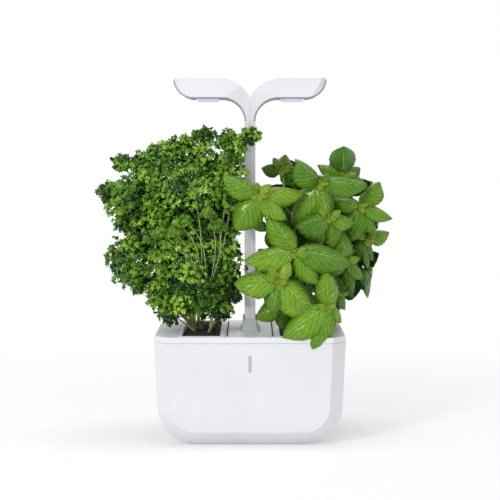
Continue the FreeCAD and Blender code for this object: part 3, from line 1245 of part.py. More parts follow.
# Basil whorls: x, y, z of the shoot tip, the side it faces (degrees from the front, to the right),
# and its leaves as (turn seen from that side, length, width, lean towards the viewer)
BASIL_WHORLS = (
    (8.5, -56.0, 297.0, 0, (
        (144, 44, 27, 14), (232, 48, 32, 18), (-36, 46, 22, 12), (47, 19, 10, 30), (8, 58, 23, -8),
    )),
    (83.5, -30.0, 310.0, 0, (
        (128, 44, 30, 38), (230, 58, 29, 10), (-77, 48, 26, 20), (3, 56, 24, 8), (60, 15, 9, 40),
    )),
    (134.0, -8.0, 282.0, 0, (
        (-15, 42, 19, 8), (58, 38, 22, 32), (-106, 44, 26, 12), (-57, 44, 17, 0), (159, 34, 20, 10),
    )),
    (54.0, -62.0, 230.0, 0, (
        (123, 52, 27, 4), (184, 61, 32, 12), (-3, 64, 30, 12), (-52, 47, 24, 18), (-10, 17, 10, 40),
    )),
    (33.5, -70.0, 195.0, 0, (
        (173, 50, 32, 10), (-102, 38, 24, 28), (-36, 58, 38, 16), (66, 24, 13, 20), (115, 20, 11, 20),
    )),
    (91.5, -78.0, 166.0, 0, (
        (-45, 24, 16, 10), (-114, 52, 27, 22), (92, 40, 23, 0), (205, 62, 33, 20),
    )),
    (36.0, -56.0, 168.0, 0, (
        (206, 34, 21, 8), (-70, 24, 15, 0),
    )),
    (95.0, -36.0, 269.0, 0, (
        (190, 42, 32, 14), (-6, 32, 21, -6), (-80, 38, 24, 4),
    )),
    (115.0, 14.0, 319.0, 0, (
        (92, 33, 27, 28), (-20, 34, 16, 0), (155, 34, 16, 0), (30, 26, 18, -20),
    )),
    (40.0, 14.0, 326.0, 0, (
        (172, 26, 19, 0), (-10, 27, 16, 8), (80, 20, 14, -20),
    )),
    (143.0, 10.0, 239.0, 30, (
        (-55, 32, 13, 0), (-100, 28, 20, 10), (20, 34, 20, 10), (120, 36, 22, 10),
    )),
    (117.0, -22.0, 216.0, 10, (
        (-40, 32, 17, 6), (-70, 45, 15, 0), (100, 38, 24, 4), (190, 34, 22, 10),
    )),
    (109.0, 6.0, 176.0, 40, (
        (-50, 29, 17, 8), (60, 34, 22, 8), (170, 34, 22, 14),
    )),
    (150.0, 42.0, 268.0, 95, (
        (15, 44, 26, 14), (100, 40, 26, 20), (170, 46, 28, 12), (240, 44, 26, 14), (300, 46, 27, 12),
    )),
    (112.0, 62.0, 302.0, 150, (
        (25, 46, 28, 16), (95, 40, 27, 26), (165, 46, 27, 14), (235, 48, 29, 16), (310, 48, 28, 14),
    )),
    (56.0, 66.0, 296.0, 190, (
        (10, 42, 25, 12), (85, 38, 26, 26), (160, 46, 27, 10), (232, 46, 28, 18), (305, 44, 28, 16),
    )),
    (84.0, 82.0, 243.0, 175, (
        (20, 48, 28, 14), (90, 44, 28, 14), (160, 48, 28, 14), (230, 48, 28, 14), (305, 46, 28, 14),
    )),
    (134.0, 66.0, 214.0, 125, (
        (20, 44, 26, 10), (95, 42, 26, 12), (165, 44, 26, 12), (245, 44, 26, 12), (310, 42, 26, 12),
    )),
    (46.0, 74.0, 198.0, 185, (
        (15, 46, 28, 12), (85, 40, 26, 14), (170, 40, 26, 10), (240, 42, 26, 12), (310, 42, 26, 12),
    )),
    (104.0, 72.0, 176.0, 150, (
        (10, 42, 26, 10), (80, 40, 25, 12), (165, 42, 26, 12), (250, 36, 22, 14),
    )),
    (146.0, 26.0, 200.0, 80, (
        (10, 38, 23, 10), (110, 38, 24, 10), (200, 38, 24, 10), (290, 38, 23, 10),
    )),
)

# Parsley lobes: centre x, y, z, half sizes x, y, z, and how many fronds cover them
PARSLEY_LOBES = (
    (-76.0, 4.0, 303.0, 60.0, 58.0, 56.0, 34),
    (-68.0, 0.0, 200.0, 48.0, 58.0, 52.0, 24),
    (-146.0, -4.0, 216.0, 25.0, 32.0, 26.0, 10),
    (-138.0, 0.0, 288.0, 32.0, 38.0, 32.0, 12),
    (-135.0, -6.0, 188.0, 9.0, 10.0, 9.0, 2),
    (-154.0, -4.0, 262.0, 8.0, 12.0, 8.0, 2),
    (-172.0, -6.0, 299.0, 10.0, 12.0, 7.0, 2),
    (-156.0, 6.0, 334.0, 7.0, 8.0, 5.0, 1),
    (-134.0, -4.0, 335.0, 10.0, 10.0, 8.0, 2),
    (-110.0, 8.0, 346.0, 12.0, 14.0, 10.0, 3),
    (-86.0, -6.0, 355.0, 12.0, 14.0, 9.0, 3),
    (-58.0, 4.0, 366.0, 11.0, 12.0, 8.0, 3),
    (-28.0, -12.0, 362.0, 9.0, 10.0, 7.0, 2),
    (-17.0, -42.0, 348.0, 8.0, 6.0, 8.0, 2),
    (0.0, -44.0, 366.0, 9.0, 4.0, 4.0, 1),
    (-20.0, -34.0, 178.0, 7.0, 10.0, 8.0, 2),
    (-34.0, -40.0, 156.0, 8.0, 12.0, 7.0, 2),
    (-96.0, -30.0, 152.0, 10.0, 14.0, 8.0, 2),
    (-98.0, 34.0, 154.0, 10.0, 14.0, 8.0, 2),
    (-36.0, 44.0, 160.0, 8.0, 12.0, 8.0, 2),
)
GOLDEN_TURN = math.pi * (3 - math.sqrt(5))


def frond(centre, outward, spin):
    """One curled parsley frond: a domed star, its tips bent back."""
    normal = Vector(outward).normalize()
    points = [centre + normal * (FROND_THICKNESS / 2), centre - normal * (FROND_THICKNESS / 2)]
    corners = 2 * FROND_POINTS
    flat = ring_points(centre, normal, 1.0, corners)
    turn = int(spin) % corners
    for index in range(corners):
        arm = flat[(index + turn) % corners] - centre
        radius = FROND_RADIUS if index % 2 == 0 else FROND_RADIUS * FROND_NOTCH
        points.append(centre + arm * radius - normal * (FROND_DROOP * radius))
    faces = []
    for index in range(corners):
        here = 2 + index
        there = 2 + (index + 1) % corners
        faces += [[0, here, there], [1, here, there]]
    return faceted(points, faces)


def frond_stalk(start, end):
    """A thin three-sided stalk that widens from a point to the frond it carries."""
    points = [start] + ring_points(end, end - start, STALK_RADIUS, 3)
    return faceted(points, [[1, 2, 3], [0, 1, 2], [0, 2, 3], [0, 3, 1]])


def inside_lobe(point, lobe, share):
    """Whether a point lies within a share of a lobe's half sizes."""
    x, y, z, rx, ry, rz, _ = lobe
    return ((point.x - x) / rx) ** 2 + ((point.y - y) / ry) ** 2 + ((point.z - z) / rz) ** 2 < share ** 2


def lobe_fronds(lobe):
    """Where a lobe's fronds sit and which way each looks, spread evenly over its surface."""
    x, y, z, rx, ry, rz, count = lobe
    centre = Vector(x, y, z)
    places = []
    for index in range(count):
        height = 1 - 2 * (index + 0.5) / count
        ring = math.sqrt(1 - height ** 2)
        angle = GOLDEN_TURN * index
        out = Vector(ring * math.cos(angle), ring * math.sin(angle), height)
        spot = centre + Vector(out.x * rx, out.y * ry, out.z * rz)
        others = [other for other in PARSLEY_LOBES if other is not lobe]
        if any(inside_lobe(spot, other, LOBE_HIDDEN) for other in others):
            continue
        places.append((spot, Vector(out.x, out.y, out.z + FROND_LIFT)))
    return places


def make_basil_stems():
    """The lower stretches of the basil shoots."""
    return Part.Compound([lower_stalk(stalk_route(1, Vector(x, y, z)), SHOOT_RADIUS)
                          for x, y, z, _, _ in BASIL_WHORLS])


def make_basil_foliage():
    """The upper shoots of the basil with a whorl of leaves on each."""
    solids = []
    for x, y, z, facing, leaves in BASIL_WHORLS:
        tip = Vector(x, y, z)
        _, split, bend = stalk_route(1, tip)
        solids.append(twig([split, bend, tip], (SHOOT_RADIUS, STALK_RADIUS)))
        for turn, length, width, lean in leaves:
            solids.append(basil_leaf(tip, facing, turn, length, width, lean))
    return Part.Compound(solids)


def lobe_tip(lobe):
    """Where the stalk of a lobe ends."""
    x, y, z, rx, ry, rz, _ = lobe
    return Vector(x, y, z - LOBE_HEART * rz)


def make_parsley_stems():
    """The lower stretches of the parsley stalks."""
    stalks = []
    for lobe in PARSLEY_LOBES:
        stalks.append(lower_stalk(stalk_route(-1, lobe_tip(lobe)), STALK_RADIUS))
    return Part.Compound(stalks)


def make_parsley_foliage():
    """The upper parsley stalks with a frond on the end of each twig."""
    solids = []
    for lobe in PARSLEY_LOBES:
        tip = lobe_tip(lobe)
        _, split, bend = stalk_route(-1, tip)
        solids.append(twig([split, bend, tip], (STALK_RADIUS, STALK_RADIUS * FROND_TWIG)))
        for index, (spot, outward) in enumerate(lobe_fronds(lobe)):
            solids.append(frond_stalk(tip, spot))
            solids.append(frond(spot, outward, index))
    return Part.Compound(solids)


NODES = {
    "reservoir_tank": make_tank,
    "foot_ring": make_foot_ring,
    "front_badge": make_badge,
    "lid_deck": make_lid_deck,
    "centre_cover": make_centre_cover,
    "light_seals": make_light_seals,
    "filler_flap": make_filler_flap,
    "flap_hinge_pin": make_flap_pin,
    "stem_foot": make_stem_foot,
    "stem_glides": make_glides,
    "stem_well": make_stem_well,
    "stem_shoe": make_stem_shoe,
    "stem_end_plate": make_stem_end_plate,
    "lamp_lead": make_lamp_lead,
    "supply_lead": make_supply_lead,
    "coil_lead": make_coil_lead,
    "power_housing": make_power_housing,
    "control_board": make_control_board,
    "power_jack": make_power_jack,
    "light_button": make_light_button,
    "switch_dome": make_switch_dome,
    "basil_stems": make_basil_stems,
    "basil_foliage": make_basil_foliage,
    "parsley_stems": make_parsley_stems,
    "parsley_foliage": make_parsley_foliage,
}
HANDED = {
    "lamp_shell": make_lamp_shell,
    "lamp_underside": make_lamp_underside,
    "lamp_lens": make_lens,
    "led_board": make_led_board,
    "leds": make_leds,
    "heat_sink": make_heat_sink,
}
SIDED = {
    "grow_tray": make_grow_tray,
    "wick": make_wick,
    "capillary_mat": make_mat,
    "pod_tub": make_pod_tub,
    "substrate": make_substrate,
}


def main():
    """Build every node and write it out."""
    os.makedirs("parts", exist_ok=True)
    for name, make in NODES.items():
        save(name, make())
    for name, make in HANDED.items():
        right = make()
        save("right_" + name, right)
        save("left_" + name, mirrored(right))
    for name, make in SIDED.items():
        save("left_" + name, make(-1))
        save("right_" + name, make(1))


if __name__ == "__main__":
    main()
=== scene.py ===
"""Looks of a countertop hydroponic garden: plastics, lamp glow, soil, parsley and basil."""
import json
import logging
import math
import random
from dataclasses import dataclass, field
from enum import Enum
from typing import Iterable, Sequence

import bmesh
import bpy
from mathutils import Matrix, Vector, noise

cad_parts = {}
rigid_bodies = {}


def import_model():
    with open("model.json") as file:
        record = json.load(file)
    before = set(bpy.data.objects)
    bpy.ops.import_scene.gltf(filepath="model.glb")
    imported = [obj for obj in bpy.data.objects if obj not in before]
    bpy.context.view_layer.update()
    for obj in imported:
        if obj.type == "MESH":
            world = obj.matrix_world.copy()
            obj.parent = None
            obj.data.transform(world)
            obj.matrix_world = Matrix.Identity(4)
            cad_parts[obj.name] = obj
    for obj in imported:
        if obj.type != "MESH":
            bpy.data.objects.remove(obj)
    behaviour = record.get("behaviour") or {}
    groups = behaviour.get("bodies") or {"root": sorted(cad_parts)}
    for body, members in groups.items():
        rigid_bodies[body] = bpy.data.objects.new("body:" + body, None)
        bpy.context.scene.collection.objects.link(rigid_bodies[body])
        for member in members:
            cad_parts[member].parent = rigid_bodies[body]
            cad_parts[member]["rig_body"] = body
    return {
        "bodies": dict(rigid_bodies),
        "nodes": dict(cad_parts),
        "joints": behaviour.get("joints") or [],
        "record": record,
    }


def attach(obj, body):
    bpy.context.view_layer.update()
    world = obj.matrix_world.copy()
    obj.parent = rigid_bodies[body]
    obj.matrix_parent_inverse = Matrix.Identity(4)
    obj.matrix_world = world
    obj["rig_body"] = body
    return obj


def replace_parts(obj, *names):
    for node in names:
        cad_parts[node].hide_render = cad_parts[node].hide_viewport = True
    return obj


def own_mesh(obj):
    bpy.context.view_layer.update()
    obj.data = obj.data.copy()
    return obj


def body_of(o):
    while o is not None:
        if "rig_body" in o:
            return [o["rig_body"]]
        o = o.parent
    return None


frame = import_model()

logging.basicConfig(level=logging.INFO, format="%(message)s")
log = logging.getLogger("garden")

Colour = tuple[float, float, float]
Point = tuple[float, float, float]
MM = 0.001
GOLDEN_ANGLE = math.pi * (3 - math.sqrt(5))
FULL_TURN = 2 * math.pi


# Shader expressions

class Shade:
    """A socket of a shader graph that takes part in Python arithmetic."""

    def __init__(self, graph: "NodeTree", socket: bpy.types.NodeSocket) -> None:
        """Keep the graph and the socket."""
        self.graph = graph
        self.socket = socket

    def __add__(self, other: "Shade | float") -> "Shade":
        """Sum."""
        return self.graph.math("ADD", self, other)

    def __radd__(self, other: float) -> "Shade":
        """Sum with a number on the left."""
        return self.graph.math("ADD", other, self)

    def __sub__(self, other: "Shade | float") -> "Shade":
        """Difference."""
        return self.graph.math("SUBTRACT", self, other)

    def __rsub__(self, other: float) -> "Shade":
        """Difference from a number on the left."""
        return self.graph.math("SUBTRACT", other, self)

    def __mul__(self, other: "Shade | float") -> "Shade":
        """Product."""
        return self.graph.math("MULTIPLY", self, other)

    def __rmul__(self, other: float) -> "Shade":
        """Product with a number on the left."""
        return self.graph.math("MULTIPLY", other, self)

    def clamp(self, low: float, high: float) -> "Shade":
        """Map low to 0 and high to 1, and hold the value there."""
        inputs = {0: self, 1: low, 2: high, 3: 0.0, 4: 1.0}
        return self.graph.node("ShaderNodeMapRange", {"clamp": True}, inputs)


class NodeTree:
    """A node tree that starts empty and gets each of its nodes in one way."""

    def __init__(self, owner: bpy.types.Material | bpy.types.World) -> None:
        """Empty the tree of a material or a world."""
        owner.use_nodes = True
        self.tree = owner.node_tree
        self.tree.nodes.clear()

    def node(self, kind: str, settings: dict, inputs: dict, output: int | str | None = 0) -> Shade | None:
        """Add any node.

        Args:
            kind: The node's type.
            settings: Attributes to set first. The stops of a ramp go under "stops".
            inputs: Values or sockets by input number or name.
            output: The output to hand back, or None for a node that has none.

        Returns:
            The output as an expression.
        """
        made = self.tree.nodes.new(kind)
        for key, value in settings.items():
            if key == "stops":
                self._stops(made.color_ramp, value)
            else:
                setattr(made, key, value)
        for key, value in inputs.items():
            if isinstance(value, Shade):
                self.tree.links.new(value.socket, made.inputs[key])
            else:
                made.inputs[key].default_value = value
        return None if output is None else Shade(self, made.outputs[output])

    @staticmethod
    def _stops(ramp: bpy.types.ColorRamp, stops: Sequence[tuple[float, Colour]]) -> None:
        """Set the stops of a colour ramp."""
        while len(ramp.elements) < len(stops):
            ramp.elements.new(0.5)
        for element, (place, colour) in zip(ramp.elements, stops):
            element.position = place
            element.color = (*colour, 1.0)

    def math(self, operation: str, first: Shade | float, second: Shade | float = 0.0) -> Shade:
        """Add one Math node."""
        return self.node("ShaderNodeMath", {"operation": operation}, {0: first, 1: second})

    def show(self, shader: Shade, output: str) -> None:
        """Link a shader to a new output node of the given type."""
        self.node(output, {}, {"Surface": shader}, None)


class Graph(NodeTree):
    """A material's node tree with short ways to add to it."""

    def __init__(self, name: str) -> None:
        """Start a material that holds only a surface shader."""
        self.material = bpy.data.materials.new(name)
        super().__init__(self.material)
        self.surface = self.node("ShaderNodeBsdfPrincipled", {}, {})

    def place(self, scale: float = 1.0, squeeze: Colour = (1.0, 1.0, 1.0)) -> Shade:
        """Object coordinates in metres times a scale, with its own factor along each axis."""
        found = self.node("ShaderNodeTexCoord", {}, {}, "Object")
        factors = tuple(scale * part for part in squeeze)
        return self.node("ShaderNodeVectorMath", {"operation": "MULTIPLY"}, {0: found, 1: factors})

    def noise(self, where: Shade, detail: float = 3.0, rough: float = 0.55) -> Shade:
        """Fractal noise between about 0.3 and 0.7."""
        inputs = {"Vector": where, "Scale": 1.0, "Detail": detail, "Roughness": rough}
        return self.node("ShaderNodeTexNoise", {}, inputs)

    def cells(self, where: Shade, feature: str = "F1") -> Shade:
        """Distance in a pattern of cells."""
        inputs = {"Vector": where, "Scale": 1.0}
        return self.node("ShaderNodeTexVoronoi", {"feature": feature}, inputs, "Distance")

    def attribute(self, name: str) -> Shade:
        """A number stored on the mesh."""
        return self.node("ShaderNodeAttribute", {"attribute_name": name}, {}, "Fac")

    def uv(self, axis: int) -> Shade:
        """One coordinate of the piece's own UV map."""
        found = self.node("ShaderNodeUVMap", {"uv_map": "UVMap"}, {})
        return self.node("ShaderNodeSeparateXYZ", {}, {0: found}, axis)

    def ramp(self, value: Shade, stops: Sequence[tuple[float, Colour]]) -> Shade:
        """Colours along a value."""
        return self.node("ShaderNodeValToRGB", {"stops": stops}, {0: value})

    def mix(self, share: Shade | float, first: Shade | Colour, second: Shade | Colour) -> Shade:
        """A blend of two colours."""
        def full(colour: Shade | Colour) -> Shade | tuple:
            """A colour with its alpha."""
            return colour if isinstance(colour, Shade) else (*colour, 1.0)

        inputs = {0: share, 6: full(first), 7: full(second)}
        return self.node("ShaderNodeMix", {"data_type": "RGBA"}, inputs, 2)

    def bump(self, height: Shade, strength: float, distance: float, under: Shade | None = None) -> Shade:
        """A normal raised by a height."""
        inputs: dict = {"Height": height, "Strength": strength, "Distance": distance}
        if under is not None:
            inputs["Normal"] = under
        return self.node("ShaderNodeBump", {}, inputs)

    def dress(self, **values: Shade | float) -> None:
        """Set sockets of the surface shader by their names with underscores."""
        for key, value in values.items():
            socket = self.surface.socket.node.inputs[key.replace("_", " ")]
            if isinstance(value, Shade):
                self.tree.links.new(value.socket, socket)
            else:
                socket.default_value = value

    def set(self, **values: Shade | float) -> bpy.types.Material:
        """Dress the surface shader and link it to the material's output.

        Args:
            **values: Numbers or expressions by socket.

        Returns:
            The finished material.
        """
        self.dress(**values)
        self.show(self.surface, "ShaderNodeOutputMaterial")
        return self.material


# Finishes

@dataclass(frozen=True)
class MouldedPlastic:
    """A moulded plastic with a fine spark texture and soft colour drift."""

    name: str
    colour: Colour
    roughness: float
    grain: float = 0.035
    drift: float = 0.955
    edge_radius: float = 0.0006

    def material(self) -> bpy.types.Material:
        """Build the material."""
        graph = Graph(self.name)
        drift = graph.noise(graph.place(14.0), 3.0)
        darker = tuple(part * self.drift for part in self.colour)
        base = graph.mix(drift.clamp(0.35, 0.65), darker, self.colour)
        sparks = graph.noise(graph.place(2400.0), 2.0)
        edges = graph.node("ShaderNodeBevel", {"samples": 4}, {"Radius": self.edge_radius})
        rough = graph.noise(graph.place(60.0), 4.0) * 0.16 + (self.roughness - 0.08)
        normal = graph.bump(sparks, self.grain, 0.0002, edges)
        return graph.set(Base_Color=base, Roughness=rough, Normal=normal, IOR=1.49)


@dataclass(frozen=True)
class Glow:
    """A frosted light window that glows evenly."""

    name: str
    colour: Colour
    strength: float

    def material(self) -> bpy.types.Material:
        """Build the material."""
        graph = Graph(self.name)
        frost = graph.noise(graph.place(900.0), 2.0)
        shade = graph.mix(frost.clamp(0.3, 0.7), tuple(part * 0.93 for part in self.colour), self.colour)
        return graph.set(Base_Color=shade, Roughness=0.45, Emission_Color=shade,
                         Emission_Strength=self.strength, Normal=graph.bump(frost, 0.05, 0.0002))


@dataclass(frozen=True)
class Rubber:
    """Matt rubber with fine mottling."""

    name: str
    colour: Colour

    def material(self) -> bpy.types.Material:
        """Build the material."""
        graph = Graph(self.name)
        mottle = graph.noise(graph.place(500.0), 4.0)
        lighter = tuple(part * 1.5 + 0.01 for part in self.colour)
        return graph.set(Base_Color=graph.mix(mottle, self.colour, lighter), Roughness=mottle * 0.2 + 0.65,
                         Normal=graph.bump(mottle, 0.1, 0.0003))


@dataclass(frozen=True)
class Metal:
    """Bare metal with fine lines along one axis."""

    name: str
    colour: Colour
    roughness: float = 0.3
    along: Colour = (30.0, 1200.0, 1200.0)

    def material(self) -> bpy.types.Material:
        """Build the material."""
        graph = Graph(self.name)
        lines = graph.noise(graph.place(1.0, self.along), 3.0)
        tone = graph.mix(lines, tuple(part * 0.8 for part in self.colour), self.colour)
        return graph.set(Base_Color=tone, Metallic=1.0, Roughness=lines * 0.2 + (self.roughness - 0.1),
                         Normal=graph.bump(lines, 0.08, 0.0001))


@dataclass(frozen=True)
class CircuitBoard:
    """Green solder mask with faint tracks."""

    name: str

    def material(self) -> bpy.types.Material:
        """Build the material."""
        graph = Graph(self.name)
        tracks = graph.cells(graph.place(420.0), "DISTANCE_TO_EDGE").clamp(0.04, 0.08)
        tone = graph.mix(tracks, (0.05, 0.22, 0.09), (0.02, 0.12, 0.05))
        return graph.set(Base_Color=tone, Roughness=0.35, Normal=graph.bump(tracks, 0.2, 0.0001))


@dataclass(frozen=True)
class Felt:
    """Wicking felt with matted fibres."""

    name: str
    colour: Colour = (0.62, 0.6, 0.55)

    def material(self) -> bpy.types.Material:
        """Build the material."""
        graph = Graph(self.name)
        fibres = graph.noise(graph.place(1.0, (900.0, 2600.0, 900.0)), 5.0, 0.7)
        tone = graph.mix(fibres, tuple(part * 0.7 for part in self.colour), self.colour)
        return graph.set(Base_Color=tone, Roughness=0.95, Normal=graph.bump(fibres, 0.5, 0.0006))


@dataclass(frozen=True)
class Peat:
    """Dark moist peat with paler fibres."""

    name: str

    def material(self) -> bpy.types.Material:
        """Build the material."""
        graph = Graph(self.name)
        clumps = graph.noise(graph.place(330.0), 6.0, 0.7)
        fibres = graph.noise(graph.place(1.0, (500.0, 2600.0, 700.0)), 4.0)
        dark = graph.ramp(clumps, (
            (0.3, (0.006, 0.004, 0.003)), (0.55, (0.03, 0.019, 0.012)), (0.8, (0.09, 0.058, 0.034))))
        tone = graph.mix(fibres.clamp(0.62, 0.7) * 0.5, dark, (0.2, 0.135, 0.08))
        return graph.set(Base_Color=tone, Roughness=0.92, Normal=graph.bump(clumps, 0.8, 0.0015))


@dataclass(frozen=True)
class BasilBlade:
    """Glossy basil leaf: pale midrib, side veins darkened with painted crease shade, and painted shade on
    leaves further back, over quilted green.
    """

    name: str
    vein_pairs: float = 7.0
    vein_slant: float = 0.75

    def material(self) -> bpy.types.Material:
        """Build the material."""
        graph = Graph(self.name)
        along = graph.uv(0)
        across = graph.uv(1)
        off = graph.math("ABSOLUTE", across - 0.5)
        phase = (along - off * self.vein_slant) * self.vein_pairs
        wave = graph.math("PINGPONG", phase, 0.5)
        ribs = 1.0 - wave.clamp(0.0, 0.085)
        midrib = 1.0 - off.clamp(0.004, 0.03)
        side = ribs * (1.0 - off.clamp(0.3, 0.47))
        veins = graph.math("MAXIMUM", midrib, side * 0.6)
        net = graph.cells(graph.place(330.0), "DISTANCE_TO_EDGE").clamp(0.0, 0.22)
        # The tone attribute carries painted shade: leaves of shoots further back get a lower tone and so a
        # darker green; young leaves get a higher tone, and the rest varies at random.
        tone = graph.attribute("tone")
        patch = graph.noise(graph.place(75.0), 3.0)
        green = graph.ramp(tone * 0.8 + patch * 0.35, (
            (0.12, (0.014, 0.075, 0.002)), (0.4, (0.07, 0.225, 0.005)), (0.7, (0.19, 0.4, 0.01)),
            (1.0, (0.42, 0.58, 0.035))))
        # Painted shade: the side veins are darkened as if shade lay in their creases.
        crease_shaded = graph.mix(side * 0.28, green, (0.03, 0.13, 0.004))
        base = graph.mix(midrib * 0.8, crease_shaded, (0.4, 0.6, 0.1))
        quilt = net * 0.3 + wave.clamp(0.0, 0.35) * 0.4 + (1.0 - veins) * 0.3
        return graph.set(Base_Color=base, Roughness=patch * 0.18 + 0.2, IOR=1.33, Coat_Weight=0.3,
                         Coat_Roughness=0.1, Normal=graph.bump(quilt, 0.9, 0.003))


@dataclass(frozen=True)
class ParsleyBlade:
    """Curled parsley leaf: greens that follow the tone attribute, with painted shade on deep-lying fronds and
    painted light on upward-facing ones, and yellow-green edges.
    """

    name: str

    def material(self) -> bpy.types.Material:
        """Build the material."""
        graph = Graph(self.name)
        tone = graph.attribute("tone")
        edge = graph.attribute("edge")
        patch = graph.noise(graph.place(38.0), 3.0)
        fine = graph.noise(graph.place(420.0), 4.0, 0.65)
        # The tone attribute carries painted shade and light: darker on fronds that lie deep in a lobe,
        # lighter on fronds that face up.
        value = tone * 0.55 + patch * 0.4 + edge * 0.2 + fine * 0.2
        green = graph.ramp(value, (
            (0.25, (0.01, 0.045, 0.003)), (0.5, (0.06, 0.18, 0.008)), (0.72, (0.18, 0.4, 0.02)),
            (1.0, (0.4, 0.66, 0.07))))
        return graph.set(Base_Color=green, Roughness=fine * 0.25 + 0.36, IOR=1.42,
                         Normal=graph.bump(fine, 0.45, 0.0009))


@dataclass(frozen=True)
class Stalk:
    """A ribbed green stalk, paler towards one end of its tones."""

    name: str
    low: Colour
    high: Colour

    def material(self) -> bpy.types.Material:
        """Build the material."""
        graph = Graph(self.name)
        streak = graph.noise(graph.place(1.0, (900.0, 900.0, 70.0)), 3.0)
        tone = graph.mix(graph.attribute("tone"), self.low, self.high)
        base = graph.mix(streak.clamp(0.35, 0.7) * 0.35, tone, tuple(part * 0.55 for part in self.low))
        return graph.set(Base_Color=base, Roughness=streak * 0.2 + 0.35,
                         Normal=graph.bump(streak, 0.35, 0.0004))


class Finish(Enum):
    """The finishes of the rigid parts."""

    TANK = MouldedPlastic("tank_white", (0.8, 0.8, 0.82), 0.34)
    LID = MouldedPlastic("lid_white", (0.82, 0.825, 0.835), 0.36)
    # Painted shade: lamp_white is set a little darker than the tank's white, to offset the extra light that
    # the lamp arms get from the lights above them.
    LAMP = MouldedPlastic("lamp_white", (0.755, 0.745, 0.775), 0.36)
    COLLAR = MouldedPlastic("collar_grey", (0.56, 0.575, 0.6), 0.42)
    BADGE = MouldedPlastic("badge_grey", (0.5, 0.515, 0.54), 0.3)
    # Partly painted shade: underside_grey is the lower cover's own grey, made dark also to stand in for the
    # shade under the lamp arms.
    UNDERSIDE = MouldedPlastic("underside_grey", (0.3, 0.3, 0.33), 0.5)
    BUTTON = MouldedPlastic("button_grey", (0.62, 0.63, 0.65), 0.4)
    HOUSING = MouldedPlastic("housing_grey", (0.6, 0.61, 0.63), 0.5)
    NYLON = MouldedPlastic("nylon", (0.78, 0.77, 0.73), 0.45)
    WELL = MouldedPlastic("well_grey", (0.3, 0.31, 0.33), 0.5)
    POD = MouldedPlastic("pod_black", (0.03, 0.03, 0.03), 0.5)
    JACK = MouldedPlastic("jack_black", (0.02, 0.02, 0.022), 0.4)
    FOOT = Rubber("foot_rubber", (0.035, 0.035, 0.038))
    SEAL = Rubber("seal_rubber", (0.01, 0.01, 0.01))
    LEAD = Rubber("lead_rubber", (0.015, 0.015, 0.016))
    DOME = Rubber("dome_rubber", (0.1, 0.1, 0.105))
    STEEL = Metal("pin_steel", (0.6, 0.6, 0.61))
    SINK = Metal("sink_aluminium", (0.7, 0.71, 0.72), 0.35, (1200.0, 30.0, 1200.0))
    BOARD = CircuitBoard("board_green")
    LED = MouldedPlastic("led_resin", (0.8, 0.76, 0.55), 0.3)
    FELT = Felt("wick_felt")
    LENS = Glow("lens_glow", (0.7, 0.66, 0.9), 0.35)


SLOT_FINISH: dict[str, Finish] = {
    "tank_shell": Finish.TANK, "foot_rubber": Finish.FOOT, "badge_face": Finish.BADGE,
    "lid_shell": Finish.LID, "cover_panel": Finish.LID, "seal_strip": Finish.SEAL,
    "flap_panel": Finish.LID, "steel": Finish.STEEL, "foot_collar": Finish.COLLAR,
    "nylon": Finish.NYLON, "well_plastic": Finish.WELL, "lead_jacket": Finish.LEAD,
    "housing_plastic": Finish.HOUSING, "circuit_board": Finish.BOARD, "jack_body": Finish.JACK,
    "button_cap": Finish.BUTTON, "dome_rubber": Finish.DOME, "lamp_moulding": Finish.LAMP,
    "underside_panel": Finish.UNDERSIDE, "lens_diffuser": Finish.LENS, "led_package": Finish.LED,
    "sink_metal": Finish.SINK, "tray_plastic": Finish.LID, "felt": Finish.FELT, "pod_plastic": Finish.POD,
}


# Mesh helpers

def mesh_of(name: str, bm: bmesh.types.BMesh) -> bpy.types.Mesh:
    """A mesh made from a bmesh, which is freed."""
    mesh = bpy.data.meshes.new(name)
    bm.to_mesh(mesh)
    bm.free()
    return mesh


def in_scene(name: str, data: bpy.types.ID) -> bpy.types.Object:
    """A new object of the scene that shows some data."""
    made = bpy.data.objects.new(name, data)
    bpy.context.scene.collection.objects.link(made)
    return made


def finished(name: str, bm: bmesh.types.BMesh, material: bpy.types.Material, body: str) -> bpy.types.Object:
    """Turn a bmesh into a smooth-shaded piece that rides on a body.

    Args:
        name: The piece's name.
        bm: The mesh, in metres in the shared frame. It is freed.
        material: Its finish.
        body: The CAD body that it moves with.

    Returns:
        The new object.
    """
    bmesh.ops.recalc_face_normals(bm, faces=bm.faces)
    mesh = mesh_of(name, bm)
    for face in mesh.polygons:
        face.use_smooth = True
    piece = in_scene(name, mesh)
    mesh.materials.append(material)
    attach(piece, body)
    log.info("%s: %d faces", name, len(mesh.polygons))
    return piece


def thicken(piece: bpy.types.Object, thickness: float) -> None:
    """Give a sheet its thickness in millimetres, half on each side."""
    skin = piece.modifiers.new("thickness", "SOLIDIFY")
    skin.thickness = thickness * MM
    skin.offset = 0.0


def of_kind(parts: Iterable, kind: type) -> list:
    """The verts, or the edges, among the parts that an operator made."""
    return [part for part in parts if isinstance(part, kind)]


def close_ends(bm: bmesh.types.BMesh) -> None:
    """Fill every open rim of a mesh."""
    bmesh.ops.holes_fill(bm, edges=[edge for edge in bm.edges if edge.is_boundary], sides=0)


def in_metres(points: Iterable[Vector]) -> list[Vector]:
    """Points in millimetres turned into metres."""
    return [point * MM for point in points]


def frame_towards(direction: Vector, upper: Vector) -> Matrix:
    """A turn whose X axis is a direction and whose Z axis lies near an upper side."""
    x = direction.normalized()
    z = (upper - x * upper.dot(x)).normalized()
    y = z.cross(x)
    return Matrix((x, y, z)).transposed().to_4x4()


